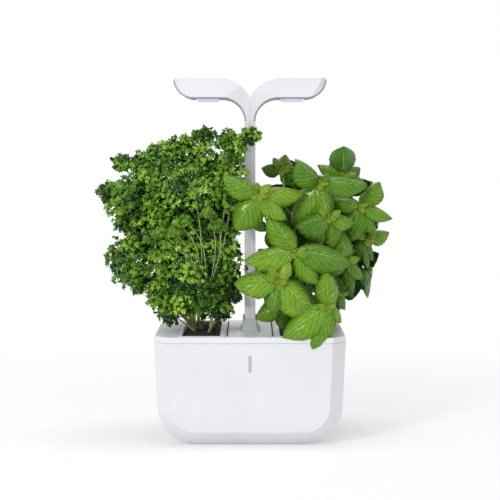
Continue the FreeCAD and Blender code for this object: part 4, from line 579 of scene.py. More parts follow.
def add_stalk(bm: bmesh.types.BMesh, route: Sequence[Vector], radii: tuple[float, float], sides: int,
              tone: float) -> None:
    """Extrude a ring along a route to make a closed stalk.

    Args:
        bm: The mesh to add to.
        route: Points of the stalk's middle line, in metres.
        radii: The radius at its start and its end.
        sides: How many sides it has.
        tone: Its place between the stalk's two colours.
    """
    layer = bm.verts.layers.float["tone"]
    ring = list(bmesh.ops.create_circle(bm, cap_ends=False, segments=sides, radius=1.0)["verts"])
    flat = [vert.co.copy() for vert in ring]
    edges = list({edge for vert in ring for edge in vert.link_edges})
    bmesh.ops.holes_fill(bm, edges=edges, sides=sides)
    last = len(route) - 1
    upper = Vector((0.31, 0.95, 0.07))
    for index, centre in enumerate(route):
        ahead = route[min(index + 1, last)] - route[max(index - 1, 0)]
        turn = frame_towards(ahead, upper).to_3x3() @ Matrix.Rotation(math.pi / 2, 3, "Y")
        radius = radii[0] + (radii[1] - radii[0]) * index / last
        if index:
            grown = bmesh.ops.extrude_edge_only(bm, edges=edges)["geom"]
            ring = matched_ring(of_kind(grown, bmesh.types.BMVert), ring)
            edges = of_kind(grown, bmesh.types.BMEdge)
        for vert, place in zip(ring, flat):
            vert.co = centre + turn @ (place * radius)
            vert[layer] = tone
    bmesh.ops.holes_fill(bm, edges=edges, sides=sides)


def matched_ring(ring: Iterable[bmesh.types.BMVert],
                 previous: Sequence[bmesh.types.BMVert]) -> list[bmesh.types.BMVert]:
    """The verts of a new ring in the order of the ring that they were extruded from."""
    found = set(ring)
    ordered = []
    for old in previous:
        for edge in old.link_edges:
            other = edge.other_vert(old)
            if other in found:
                ordered.append(other)
                break
    return ordered


def bowed(points: Sequence[Vector], steps: int = 4) -> list[Vector]:
    """Points of a smooth curve through a few knots."""
    out = []
    padded = [points[0] * 2 - points[1], *points, points[-1] * 2 - points[-2]]
    for index in range(1, len(padded) - 2):
        a, b, c, d = padded[index - 1:index + 3]
        for step in range(steps):
            t = step / steps
            out.append(0.5 * (2 * b + (c - a) * t + (2 * a - 5 * b + 4 * c - d) * t * t
                              + (3 * b - a - 3 * c + d) * t ** 3))
    return out + [points[-1]]


# Plants

# Basil shoots as in the model, in millimetres: tip x, y, z, the side it faces in degrees,
# and its leaves as (turn, length, width, lean)
BASIL_WHORLS = (
    (8.5, -56.0, 297.0, 0, (
        (144, 44, 27, 14), (232, 48, 32, 18), (-36, 46, 22, 12), (47, 19, 10, 30), (8, 58, 23, -8),
    )),
    (83.5, -30.0, 310.0, 0, (
        (128, 44, 30, 38), (230, 58, 29, 10), (-77, 48, 26, 20), (3, 56, 24, 8), (60, 15, 9, 40),
    )),
    (134.0, -8.0, 282.0, 0, (
        (-15, 42, 19, 8), (58, 38, 22, 32), (-106, 44, 26, 12), (-57, 44, 17, 0), (159, 34, 20, 10),
    )),
    (54.0, -62.0, 230.0, 0, (
        (123, 52, 27, 4), (184, 61, 32, 12), (-3, 64, 30, 12), (-52, 47, 24, 18), (-10, 17, 10, 40),
    )),
    (33.5, -70.0, 195.0, 0, (
        (173, 50, 32, 10), (-102, 38, 24, 28), (-36, 58, 38, 16), (66, 24, 13, 20), (115, 20, 11, 20),
    )),
    (91.5, -78.0, 166.0, 0, (
        (-45, 24, 16, 10), (-114, 52, 27, 22), (92, 40, 23, 0), (205, 62, 33, 20),
    )),
    (36.0, -56.0, 168.0, 0, (
        (206, 34, 21, 8), (-70, 24, 15, 0),
    )),
    (95.0, -36.0, 269.0, 0, (
        (190, 42, 32, 14), (-6, 32, 21, -6), (-80, 38, 24, 4),
    )),
    (115.0, 14.0, 319.0, 0, (
        (92, 33, 27, 28), (-20, 34, 16, 0), (155, 34, 16, 0), (30, 26, 18, -20),
    )),
    (40.0, 14.0, 326.0, 0, (
        (172, 26, 19, 0), (-10, 27, 16, 8), (80, 20, 14, -20),
    )),
    (143.0, 10.0, 239.0, 30, (
        (-55, 32, 13, 0), (-100, 28, 20, 10), (20, 34, 20, 10), (120, 36, 22, 10),
    )),
    (117.0, -22.0, 216.0, 10, (
        (-40, 32, 17, 6), (-70, 45, 15, 0), (100, 38, 24, 4), (190, 34, 22, 10),
    )),
    (109.0, 6.0, 176.0, 40, (
        (-50, 29, 17, 8), (60, 34, 22, 8), (170, 34, 22, 14),
    )),
    (150.0, 42.0, 268.0, 95, (
        (15, 44, 26, 14), (100, 40, 26, 20), (170, 46, 28, 12), (240, 44, 26, 14), (300, 46, 27, 12),
    )),
    (112.0, 62.0, 302.0, 150, (
        (25, 46, 28, 16), (95, 40, 27, 26), (165, 46, 27, 14), (235, 48, 29, 16), (310, 48, 28, 14),
    )),
    (56.0, 66.0, 296.0, 190, (
        (10, 42, 25, 12), (85, 38, 26, 26), (160, 46, 27, 10), (232, 46, 28, 18), (305, 44, 28, 16),
    )),
    (84.0, 82.0, 243.0, 175, (
        (20, 48, 28, 14), (90, 44, 28, 14), (160, 48, 28, 14), (230, 48, 28, 14), (305, 46, 28, 14),
    )),
    (134.0, 66.0, 214.0, 125, (
        (20, 44, 26, 10), (95, 42, 26, 12), (165, 44, 26, 12), (245, 44, 26, 12), (310, 42, 26, 12),
    )),
    (46.0, 74.0, 198.0, 185, (
        (15, 46, 28, 12), (85, 40, 26, 14), (170, 40, 26, 10), (240, 42, 26, 12), (310, 42, 26, 12),
    )),
    (104.0, 72.0, 176.0, 150, (
        (10, 42, 26, 10), (80, 40, 25, 12), (165, 42, 26, 12), (250, 36, 22, 14),
    )),
    (146.0, 26.0, 200.0, 80, (
        (10, 38, 23, 10), (110, 38, 24, 10), (200, 38, 24, 10), (290, 38, 23, 10),
    )),
)

# Parsley lobes as in the model, in millimetres: centre x, y, z and half sizes x, y, z
PARSLEY_LOBES = (
    (-76.0, 4.0, 303.0, 60.0, 58.0, 56.0),
    (-68.0, 0.0, 200.0, 48.0, 58.0, 52.0),
    (-146.0, -4.0, 216.0, 25.0, 32.0, 26.0),
    (-138.0, 0.0, 288.0, 32.0, 38.0, 32.0),
    (-135.0, -6.0, 188.0, 9.0, 10.0, 9.0),
    (-154.0, -4.0, 262.0, 8.0, 12.0, 8.0),
    (-172.0, -6.0, 299.0, 10.0, 12.0, 7.0),
    (-156.0, 6.0, 334.0, 7.0, 8.0, 5.0),
    (-134.0, -4.0, 335.0, 10.0, 10.0, 8.0),
    (-110.0, 8.0, 346.0, 12.0, 14.0, 10.0),
    (-86.0, -6.0, 355.0, 12.0, 14.0, 9.0),
    (-58.0, 4.0, 366.0, 11.0, 12.0, 8.0),
    (-28.0, -12.0, 362.0, 9.0, 10.0, 7.0),
    (-17.0, -42.0, 348.0, 8.0, 6.0, 8.0),
    (0.0, -44.0, 366.0, 9.0, 4.0, 4.0),
    (-20.0, -34.0, 178.0, 7.0, 10.0, 8.0),
    (-34.0, -40.0, 156.0, 8.0, 12.0, 7.0),
    (-96.0, -30.0, 152.0, 10.0, 14.0, 8.0),
    (-98.0, 34.0, 154.0, 10.0, 14.0, 8.0),
    (-36.0, 44.0, 160.0, 8.0, 12.0, 8.0),
)


@dataclass
class Garden:
    """Sizes that the plants and the soil share, in millimetres."""

    tray_centre: float = 57.8
    soil_width: float = 41.6
    soil_depth: float = 140.4
    soil_top: float = 126.1
    mound_top: float = 128.5
    split_z: float = 138.1
    root_reach: tuple[float, float] = (9.0, 52.2)
    root_pull: tuple[float, float] = (0.3, 0.6)
    lean: float = 0.8
    bow: float = 0.12
    squash_keep: float = 0.74

    def route(self, side: int, tip: Vector) -> list[Vector]:
        """Root, split, bend and tip of a stalk, in millimetres."""
        middle = side * self.tray_centre
        reach_x, reach_y = self.root_reach
        x = middle + max(-reach_x, min(reach_x, self.root_pull[0] * (tip.x - middle)))
        y = max(-reach_y, min(reach_y, self.root_pull[1] * tip.y))
        root = Vector((x, y, self.mound_top))
        share = self.lean * min((self.split_z - root.z) / max(tip.z - root.z, 1.0), 1.0)
        split = Vector((x + (tip.x - x) * share, y + (tip.y - y) * share, self.split_z))
        bend = (split + tip) * 0.5 + Vector((0.0, 0.0, self.bow * (tip.z - self.split_z)))
        return [root, split, bend, tip]

    def sink(self, piece: bpy.types.Object) -> None:
        """Give a plant piece its own copy of its mesh."""
        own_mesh(piece)


@dataclass
class BasilPlant:
    """Sweet basil: branching shoots with whorls of cupped, quilted leaves."""

    garden: Garden
    columns: int = 14
    rows: int = 8
    thickness: float = 0.45
    cup: float = 0.42
    arch: float = 0.27
    widest: float = 0.41
    broader: float = 1.22
    vein_pairs: float = 5.5
    pillow: float = 0.085
    belly: float = 0.06
    waver: float = 0.03
    shoot: float = 1.9
    tip: float = 1.0
    shoot_sides: int = 7
    young_length: float = 26.0
    bud_lengths: tuple[float, ...] = (15.0, 11.0, 7.0)
    bud_width: float = 0.62
    side_width: float = 0.58
    seed: int = 11
    rng: random.Random = field(init=False)

    def __post_init__(self) -> None:
        """Seed the plant."""
        self.rng = random.Random(self.seed)

    def half_width(self, share: float) -> float:
        """Half the blade's width at a share of its length, as a share of its full width."""
        if share <= 0.0 or share >= 1.0:
            return 0.006
        bulge = (share / self.widest) if share < self.widest else (1 - share) / (1 - self.widest)
        return 0.5 * math.sin(math.pi / 2 * bulge) ** (0.62 if share < self.widest else 0.8)

    def blade(self, bm: bmesh.types.BMesh, base: Vector, turn: Matrix, length: float, width: float,
              tone: float) -> None:
        """Add one leaf from a grid.

        Args:
            bm: The mesh to add to, with its layers made.
            base: Where the leaf starts, in millimetres.
            turn: Its frame: X along the leaf, Z out of its upper side.
            length: The blade's length in millimetres.
            width: Its width in millimetres.
            tone: Its place in the range of greens.
        """
        made = bmesh.ops.create_grid(bm, x_segments=self.columns, y_segments=self.rows, size=1.0,
                                     calc_uvs=True)
        layer = bm.verts.layers.float["tone"]
        twist = self.rng.uniform(-0.25, 0.25)
        fold = self.rng.uniform(0.7, 1.4)
        bend = self.rng.uniform(0.7, 1.35)
        for vert in made["verts"]:
            share = (vert.co.x + 1) / 2
            side = vert.co.y
            off = abs(side)
            teeth = 1.0 + 0.03 * math.sin(share * 44 + side * 2) * off ** 3
            x = share * length
            y = side * self.half_width(share) * width * self.broader * teeth
            swell = math.sin(share * math.pi)
            vein = abs(math.sin((share - off * 0.3) * math.pi * self.vein_pairs))
            lift = -self.cup * fold * width * off ** 2.2 * swell
            puff = self.pillow * width * vein * (1 - off) * min(1.0, off * 6) * swell
            puff += self.belly * width * min(1.0, off * 2.5) * (1 - off) * swell
            droop = self.arch * bend * length * share ** 2
            wave = self.waver * width * math.sin(share * 13 + twist * 9) * side * off
            local = Vector((x, y, lift + puff + wave - droop + twist * y * share))
            vert.co = (base + turn.to_3x3() @ local) * MM
            vert[layer] = tone

    def build(self, blade: bpy.types.Material, stalk: bpy.types.Material) -> list[bpy.types.Object]:
        """Make the stalks and the leaves.

        Args:
            blade: The leaves' finish.
            stalk: The shoots' finish.

        Returns:
            The two pieces.
        """
        leaves = bmesh.new()
        stems = bmesh.new()
        for bm in (leaves, stems):
            bm.verts.layers.float.new("tone")
        leaves.loops.layers.uv.new("UVMap")
        for x, y, z, facing, whorl in BASIL_WHORLS:
            tip = Vector((x, y, z))
            points = bowed(self.garden.route(1, tip))
            radii = (self.shoot * MM, self.tip * MM)
            add_stalk(stems, in_metres(points), radii, self.shoot_sides, self.rng.uniform(0.2, 0.7))
            # Painted shade: the further back a shoot stands, the lower the tone of its leaves, so they come
            # out darker green.
            depth = max(0.0, min(1.0, (60 - y) / 150))
            for leaf in whorl:
                self.whorl_leaf(leaves, tip, facing, leaf, 0.25 + 0.35 * depth)
            self.bud(leaves, tip, facing)
            self.side_leaves(leaves, points, facing)
        head = finished("basil_leaves", leaves, blade, "right_pod")
        thicken(head, self.thickness)
        shoots = finished("basil_shoots", stems, stalk, "right_pod")
        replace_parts(head, "basil_foliage")
        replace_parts(shoots, "basil_stems")
        for piece in (head, shoots):
            self.garden.sink(piece)
        return [head, shoots]

    def leaf_turn(self, facing: float, turn: float, lean: float) -> Matrix:
        """The frame of a leaf as one sees it who looks at its whorl."""
        side, round_whorl, rise = (math.radians(value) for value in (facing, turn, lean))
        viewer = Vector((math.sin(side), -math.cos(side), 0.0))
        right = Vector((math.cos(side), math.sin(side), 0.0))
        up = Vector((0.0, 0.0, 1.0))
        spread = right * math.cos(round_whorl) + up * math.sin(round_whorl)
        return frame_towards(spread * math.cos(rise) + viewer * math.sin(rise), viewer * 0.8 + up * 0.6)

    def whorl_leaf(self, bm: bmesh.types.BMesh, tip: Vector, facing: float,
                   leaf: tuple[float, float, float, float], tone: float) -> None:
        """Add one leaf of the table."""
        turn, length, width, lean = leaf
        frame = self.leaf_turn(facing, turn, lean)
        shade = tone + self.rng.uniform(-0.15, 0.2) + (0.25 if length < self.young_length else 0.0)
        self.blade(bm, tip, frame, length, width, shade)

    def bud(self, bm: bmesh.types.BMesh, tip: Vector, facing: float) -> None:
        """Add the small young leaves at a shoot's tip."""
        start = self.rng.uniform(0, 90)
        for index in range(2 * len(self.bud_lengths)):
            ring = index // 2
            turn = start + index * 90 + ring * 40
            length = self.bud_lengths[ring] * self.rng.uniform(0.85, 1.15)
            frame = self.leaf_turn(facing, turn, 25 + ring * 17)
            lifted = tip + frame.to_3x3() @ Vector((0.0, 0.0, 1.2 * ring))
            self.blade(bm, lifted, frame, length, length * self.bud_width, 0.8 + 0.1 * ring)

    def side_leaves(self, bm: bmesh.types.BMesh, points: list[Vector], facing: float) -> None:
        """Add pairs of smaller leaves along the upper half of a shoot."""
        for index in (len(points) // 2 + 1, len(points) * 3 // 4):
            spot = points[index]
            for turn in (20, 200):
                turned = turn + self.rng.uniform(-30, 30) + (90 if index % 2 else 0)
                away = facing + self.rng.uniform(-50, 50)
                frame = self.leaf_turn(away, turned, self.rng.uniform(0, 30))
                length = self.rng.uniform(20, 30)
                self.blade(bm, spot, frame, length, length * self.side_width, self.rng.uniform(0.05, 0.35))


@dataclass
class ParsleyPlant:
    """Curled parsley: a dense head of ruffled leaves on thin stalks.

    Its fronds lie over the lobes, and a few sprigs stand in front of them.
    """

    garden: Garden
    kinds: int = 8
    around: int = 12
    rings: int = 2
    frond_area: float = 440.0
    per_frond: int = 20
    spread: float = 14.5
    small_lobe: float = 15.0
    small_spread: float = 0.62
    buried: float = 0.66
    leaf_radius: float = 3.9
    levels: dict[str, float] = field(default_factory=lambda: {
        "parsley_lower_leaves": 190.0, "parsley_middle_leaves": 262.0, "parsley_upper_leaves": 325.0,
    })
    stem_keepout: tuple[float, float] = (18.0, 38.0)
    lobes: tuple[tuple[float, ...], ...] = PARSLEY_LOBES + (
        (-62.0, 5.0, 250.0, 50.0, 48.0, 26.0), (-114.0, 4.0, 256.0, 34.0, 34.0, 24.0),
        (-26.0, -2.0, 300.0, 24.0, 44.0, 44.0), (-30.0, -6.0, 206.0, 20.0, 36.0, 38.0),
        (-104.0, -2.0, 176.0, 20.0, 30.0, 18.0),
    )
    sprigs: tuple[Point, ...] = (
        (-118.0, -46.0, 244.0), (-108.0, -58.0, 252.0), (-98.0, -62.0, 238.0), (-90.0, -64.0, 254.0),
        (-84.0, -62.0, 264.0), (-112.0, -54.0, 226.0), (-76.0, -64.0, 268.0), (-50.0, -60.0, 276.0),
        (-38.0, -58.0, 262.0), (-66.0, -62.0, 300.0),
    )
    sprig_base: float = 184.0
    sprig_spread: float = 7.0
    sprig_stalk: float = 0.55
    frond_stalk: tuple[float, float] = (0.75, 0.4)
    thickness: float = 0.35
    stalk: float = 1.2
    seed: int = 5
    rng: random.Random = field(init=False)

    def __post_init__(self) -> None:
        """Seed the plant."""
        self.rng = random.Random(self.seed)

    @staticmethod
    def side_of(outward: Vector) -> Vector:
        """A direction square to another."""
        guess = Vector((0.0, 0.0, 1.0)) if abs(outward.z) < 0.8 else Vector((1.0, 0.0, 0.0))
        return outward.cross(guess)

    @staticmethod
    def inside(point: Vector, lobe: tuple[float, ...], share: float) -> bool:
        """Whether a point lies within a share of a lobe's half sizes."""
        x, y, z, rx, ry, rz = lobe
        away = ((point.x - x) / rx) ** 2 + ((point.y - y) / ry) ** 2 + ((point.z - z) / rz) ** 2
        return away < share ** 2

    def fronds(self, lobe: tuple[float, ...]) -> Iterable[tuple[Vector, Vector, float]]:
        """Frond centres over a lobe's surface, which way each looks and how deep it lies."""
        x, y, z, rx, ry, rz = lobe
        power = 1.6
        mean = (rx * ry) ** power / 3 + (rx * rz) ** power / 3 + (ry * rz) ** power / 3
        area = 4 * math.pi * mean ** (1 / power)
        count = max(3, int(area / self.frond_area))
        for index in range(count):
            height = 1 - 2 * (index + 0.5) / count
            ring = math.sqrt(max(0.0, 1 - height ** 2))
            angle = GOLDEN_ANGLE * index
            out = Vector((ring * math.cos(angle), ring * math.sin(angle), height))
            swell = noise.noise(out * 2.1 + Vector((x, y, z)) * 0.02)
            depth = self.rng.choice((1.0, 1.0, 0.96, 0.84, 0.7)) + 0.16 * swell
            spot = Vector((x + out.x * rx * depth, y + out.y * ry * depth, z + out.z * rz * depth))
            deep = any(self.inside(spot, other, self.buried) for other in self.lobes if other is not lobe)
            if deep or self.near_stem(spot):
                continue
            look = Vector((out.x + self.rng.uniform(-0.4, 0.4), out.y + self.rng.uniform(-0.4, 0.4),
                           out.z + 0.45 + self.rng.uniform(-0.3, 0.4)))
            yield spot, look.normalized(), depth + 0.25 * swell

    def near_stem(self, spot: Vector) -> bool:
        """Whether a frond would stand in the lamp's stem."""
        reach_x, reach_y = self.stem_keepout
        return abs(spot.x) < reach_x and abs(spot.y) < reach_y

    def leaflets(self, spot: Vector, look: Vector,
                 spread: float) -> Iterable[tuple[Vector, Vector, float, float]]:
        """The leaves of one frond: place, way it looks, radius and a lift in tone."""
        turn = frame_towards(self.side_of(look), look).to_3x3()
        start = self.rng.uniform(0.0, FULL_TURN)
        for index in range(self.per_frond):
            share = math.sqrt((index + 0.3) / self.per_frond)
            angle = start + GOLDEN_ANGLE * index
            way = turn @ Vector((math.cos(angle), math.sin(angle), 0.0))
            sink = 0.12 * share ** 2 * spread + self.rng.uniform(-0.42, 0.42) * spread
            place = spot + way * (share * spread * self.rng.uniform(0.8, 1.35)) - look * sink
            stray = Vector((self.rng.uniform(-0.8, 0.8), self.rng.uniform(-0.9, 0.4),
                            self.rng.uniform(-0.2, 0.9)))
            facing = look * 0.7 + way * (0.5 * share) + stray
            radius = self.leaf_radius * self.rng.uniform(0.7, 1.3)
            yield place, facing.normalized(), radius, self.rng.uniform(-0.22, 0.3)

    def build(self, blade: bpy.types.Material, stalk: bpy.types.Material) -> list[bpy.types.Object]:
        """Make the leaves in three pieces and the stalks in one.

        Args:
            blade: The leaves' finish.
            stalk: The stalks' finish.

        Returns:
            The four pieces.
        """
        heads = {name: bmesh.new() for name in self.levels}
        for bm in heads.values():
            bm.verts.layers.float.new("tone")
            bm.verts.layers.float.new("edge")
        stems = bmesh.new()
        stems.verts.layers.float.new("tone")
        templates = [self.template(index) for index in range(self.kinds)]
        for lobe in self.lobes:
            self.grow_lobe(heads, stems, templates, lobe)
        for spot in self.sprigs:
            self.grow_sprig(heads, stems, templates, Vector(spot))
        pieces = [finished(name, bm, blade, "left_pod") for name, bm in heads.items()]
        for piece in pieces:
            thicken(piece, self.thickness)
        for mesh in templates:
            bpy.data.meshes.remove(mesh)
        shoots = finished("parsley_stalks", stems, stalk, "left_pod")
        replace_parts(pieces[0], "parsley_foliage")
        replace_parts(shoots, "parsley_stems")
        for piece in (*pieces, shoots):
            self.garden.sink(piece)
        return [*pieces, shoots]

    def grow_lobe(self, heads: dict[str, bmesh.types.BMesh], stems: bmesh.types.BMesh,
                  templates: list[bpy.types.Mesh], lobe: tuple[float, ...]) -> None:
        """Add one lobe: its stalk from the soil, and its fronds on stalks of their own.

        Args:
            heads: The leaf meshes by piece.
            stems: The stalks' mesh.
            templates: Leaves to copy.
            lobe: Its centre and half sizes in millimetres.
        """
        tip = Vector((lobe[0], lobe[1], lobe[2] - 0.4 * lobe[5]))
        radii = (self.stalk * MM, 0.6 * self.stalk * MM)
        add_stalk(stems, in_metres(bowed(self.garden.route(-1, tip))), radii, 6, 0.4)
        spread = self.spread * (self.small_spread if lobe[3] < self.small_lobe else 1.0)
        thin = tuple(radius * MM for radius in self.frond_stalk)
        for spot, look, depth in self.fronds(lobe):
            # Painted shade and light: fronds that lie deeper in the lobe get a lower tone and fronds that
            # face up a higher one; the fresh fronds and the random spread are the plant's own colour.
            fresh = 0.32 if self.rng.random() < 0.1 else 0.0
            tone = (depth - 0.9) * 1.6 + 0.35 * look.z + fresh + self.rng.uniform(-0.12, 0.12)
            base = tip.lerp(spot, 0.25) + Vector((0.0, 0.0, -3.0))
            middle = tip.lerp(spot, 0.65) + Vector((0.0, 0.0, 2.5))
            add_stalk(stems, in_metres(bowed([base, middle, spot], 2)), thin, 4, 0.75)
            self.grow_leaves(heads, templates, self.leaflets(spot, look, spread), spot.z, tone)

    def grow_sprig(self, heads: dict[str, bmesh.types.BMesh], stems: bmesh.types.BMesh,
                   templates: list[bpy.types.Mesh], tip: Vector) -> None:
        """Add one sprig in front of the lobes, with its thin stalk in view.

        Args:
            heads: The leaf meshes by piece.
            stems: The stalks' mesh.
            templates: Leaves to copy.
            tip: The sprig's place in millimetres.
        """
        start = Vector((0.15 * tip.x - 40.0 + self.rng.uniform(-14.0, 8.0), tip.y + 18.0, self.sprig_base))
        middle = start.lerp(tip, 0.5) + Vector((self.rng.uniform(2.0, 9.0), -4.0, 9.0))
        radii = (self.sprig_stalk * MM, 0.6 * self.sprig_stalk * MM)
        add_stalk(stems, in_metres(bowed([start, middle, tip], 3)), radii, 5, 0.6)
        leaves = self.leaflets(tip, Vector((0.0, -0.5, 0.87)), self.sprig_spread)
        self.grow_leaves(heads, templates, leaves, tip.z, 0.35)

    def grow_leaves(self, heads: dict[str, bmesh.types.BMesh], templates: list[bpy.types.Mesh],
                    leaves: Iterable[tuple[Vector, Vector, float, float]], height: float,
                    tone: float) -> None:
        """Add the leaves of a frond to the piece whose level is nearest to a height."""
        nearest = min(self.levels, key=lambda name: abs(self.levels[name] - height))
        for place, facing, radius, lift in leaves:
            self.copy(heads[nearest], self.rng.choice(templates), place, facing, radius, tone + lift)

    def template(self, index: int) -> bpy.types.Mesh:
        """One ruffled leaf of radius one, grown ring by ring.

        Args:
            index: Its number, for its name.

        Returns:
            The leaf's mesh.
        """
        bm = bmesh.new()
        tones = bm.verts.layers.float.new("tone")
        edge_shares = bm.verts.layers.float.new("edge")
        bmesh.ops.create_circle(bm, cap_ends=True, cap_tris=True, segments=self.around,
                                radius=1.0 / self.rings)
        rim = [edge for edge in bm.edges if edge.is_boundary]
        for ring in range(2, self.rings + 1):
            grown = bmesh.ops.extrude_edge_only(bm, edges=rim)["geom"]
            verts = of_kind(grown, bmesh.types.BMVert)
            bmesh.ops.scale(bm, vec=(ring / (ring - 1),) * 3, verts=verts)
            rim = of_kind(grown, bmesh.types.BMEdge)
        lobes = self.rng.choice((3, 3, 5))
        phase = self.rng.uniform(0.0, FULL_TURN)
        for vert in bm.verts:
            r = min(vert.co.length, 1.0)
            a = math.atan2(vert.co.y, vert.co.x)
            cutting = 0.48 + 0.52 * abs(math.cos(lobes * a / 2 + phase))
            tooth = 1.0 + 0.24 * r * r * math.cos(a * self.around / 2)
            reach = r * cutting * tooth
            ruffle = 0.5 * r * r * math.sin(a * 4 + phase) + 0.36 * r ** 3 * math.sin(a * 5 - phase * 2)
            height = 0.15 * (1 - r) - 0.2 * r * r + ruffle
            vert.co = Vector((reach * math.cos(a), reach * math.sin(a), height))
            vert[tones] = 0.0
            vert[edge_shares] = r * r
        return mesh_of(f"leaf_{index}", bm)

    def copy(self, bm: bmesh.types.BMesh, template: bpy.types.Mesh, spot: Vector, look: Vector,
             radius: float, tone: float) -> None:
        """Copy a leaf to its place."""
        leaf = template.copy()
        spin = Matrix.Rotation(self.rng.uniform(0.0, FULL_TURN), 4, "Z")
        scale = Matrix.Scale(radius * MM, 4)
        leaf.transform(Matrix.Translation(spot * MM) @ frame_towards(self.side_of(look), look) @ spin @ scale)
        leaf.attributes["tone"].data.foreach_set("value", [tone] * len(leaf.vertices))
        bm.from_mesh(leaf)
        bpy.data.meshes.remove(leaf)


@dataclass
class SoilBed:
    """Moist peat that fills a pod, with a crumbly mound."""

    garden: Garden
    side: int
    bottom: float = 78.2
    gap: float = 0.2
    rim: float = 9.0
    crumbs: int = 150
    seed: int = 3

    def build(self, peat: bpy.types.Material) -> bpy.types.Object:
        """Make the bed from a displaced grid with a skirt and loose crumbs.

        Args:
            peat: The soil's finish.

        Returns:
            The bed.
        """
        rng = random.Random(self.seed + self.side)
        bm = bmesh.new()
        name = "left" if self.side < 0 else "right"
        made = bmesh.ops.create_grid(bm, x_segments=24, y_segments=80, size=0.5)["verts"]
        width = self.garden.soil_width - 2 * self.gap
        depth = self.garden.soil_depth - 2 * self.gap
        middle = self.side * self.garden.tray_centre
        for vert in made:
            x, y = vert.co.x * width, vert.co.y * depth
            rim = min(1.0, (width / 2 - abs(x)) / self.rim, (depth / 2 - abs(y)) / self.rim)
            rough = noise.fractal(Vector((x, y, self.seed)) * 0.16, 0.8, 2.1, 4) * 0.8
            z = self.garden.soil_top + 2.0 * math.sin(rim * math.pi / 2) + rough * (0.3 + 0.7 * rim)
            vert.co = Vector((middle + x, y, min(z, self.garden.mound_top + 0.7))) * MM
        outline = [edge for edge in bm.edges if edge.is_boundary]
        grown = bmesh.ops.extrude_edge_only(bm, edges=outline)["geom"]
        for vert in of_kind(grown, bmesh.types.BMVert):
            vert.co.z = self.bottom * MM
        close_ends(bm)
        for _ in range(self.crumbs):
            x = rng.uniform(-0.42, 0.42) * width
            y = rng.uniform(-0.46, 0.46) * depth
            size = rng.uniform(0.5, 1.3)
            place = Vector((middle + x, y, self.garden.mound_top + 0.1)) * MM
            crumb = bmesh.ops.create_icosphere(bm, subdivisions=1, radius=size * MM)["verts"]
            for vert in crumb:
                vert.co = place + vert.co * rng.uniform(0.75, 1.1)
        bed = finished(f"{name}_soil_bed", bm, peat, f"{name}_pod")
        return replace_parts(bed, f"{name}_substrate")


@dataclass
class FeltFeed:
    """The wick and the mat under a pod, in soft felt."""

    side: str
    edge: float = 0.5

    def build(self, felt: bpy.types.Material) -> list[bpy.types.Object]:
        """Round off copies of the wick and the mat.

        Args:
            felt: The felt's finish.

        Returns:
            The two pieces.
        """
        made = []
        for part in ("wick", "capillary_mat"):
            node = f"{self.side}_{part}"
            source = frame["nodes"][node]
            bm = bmesh.new()
            bm.from_mesh(source.data)
            bmesh.ops.remove_doubles(bm, verts=bm.verts, dist=0.00001)
            bmesh.ops.dissolve_limit(bm, angle_limit=0.02, verts=bm.verts, edges=bm.edges)
            sharp = [edge for edge in bm.edges if edge.calc_face_angle(0.0) > 0.5]
            bmesh.ops.bevel(bm, geom=sharp, offset=self.edge * MM, offset_type="OFFSET", segments=2,
                            profile=0.5, affect="EDGES", material=-1, clamp_overlap=True)
            piece = finished(f"{node}_felt", bm, felt, body_of(source)[0])
            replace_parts(piece, node)
            made.append(piece)
        return made


@dataclass
class CoilLead:
    """The coiled lead in the well, spun as one helix."""

    radius: float = 3.5
    wire: float = 1.2
    turns: int = 11
    centre_y: float = 12.0
    low: float = 17.2
    high: float = 103.1
    sides: int = 8
    steps_per_turn: int = 16
    squash_keep: float = 0.31

    def build(self, jacket: bpy.types.Material) -> bpy.types.Object:
        """Spin a circle along the helix.

        Args:
            jacket: The lead's finish.

        Returns:
            The coil.
        """
        bm = bmesh.new()
        made = bmesh.ops.create_circle(bm, cap_ends=False, segments=self.sides, radius=self.wire * MM)
        ring = made["verts"]
        upright = Matrix.Rotation(math.pi / 2, 4, "X")
        place = Matrix.Translation(Vector((self.radius, self.centre_y, self.low)) * MM)
        bmesh.ops.transform(bm, matrix=place @ upright, verts=ring)
        edges = list({edge for vert in ring for edge in vert.link_edges})
        steps = self.turns * self.steps_per_turn
        rise = (self.high - self.low) / steps * MM
        bmesh.ops.spin(bm, geom=ring + edges, cent=(0.0, self.centre_y * MM, 0.0), axis=(0.0, 0.0, 1.0),
                       dvec=(0.0, 0.0, rise), angle=self.turns * FULL_TURN, steps=steps, use_merge=False)
        close_ends(bm)
        coil = finished("coiled_lead", bm, jacket, "lid")
        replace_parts(coil, "coil_lead")
        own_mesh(coil)
        return coil


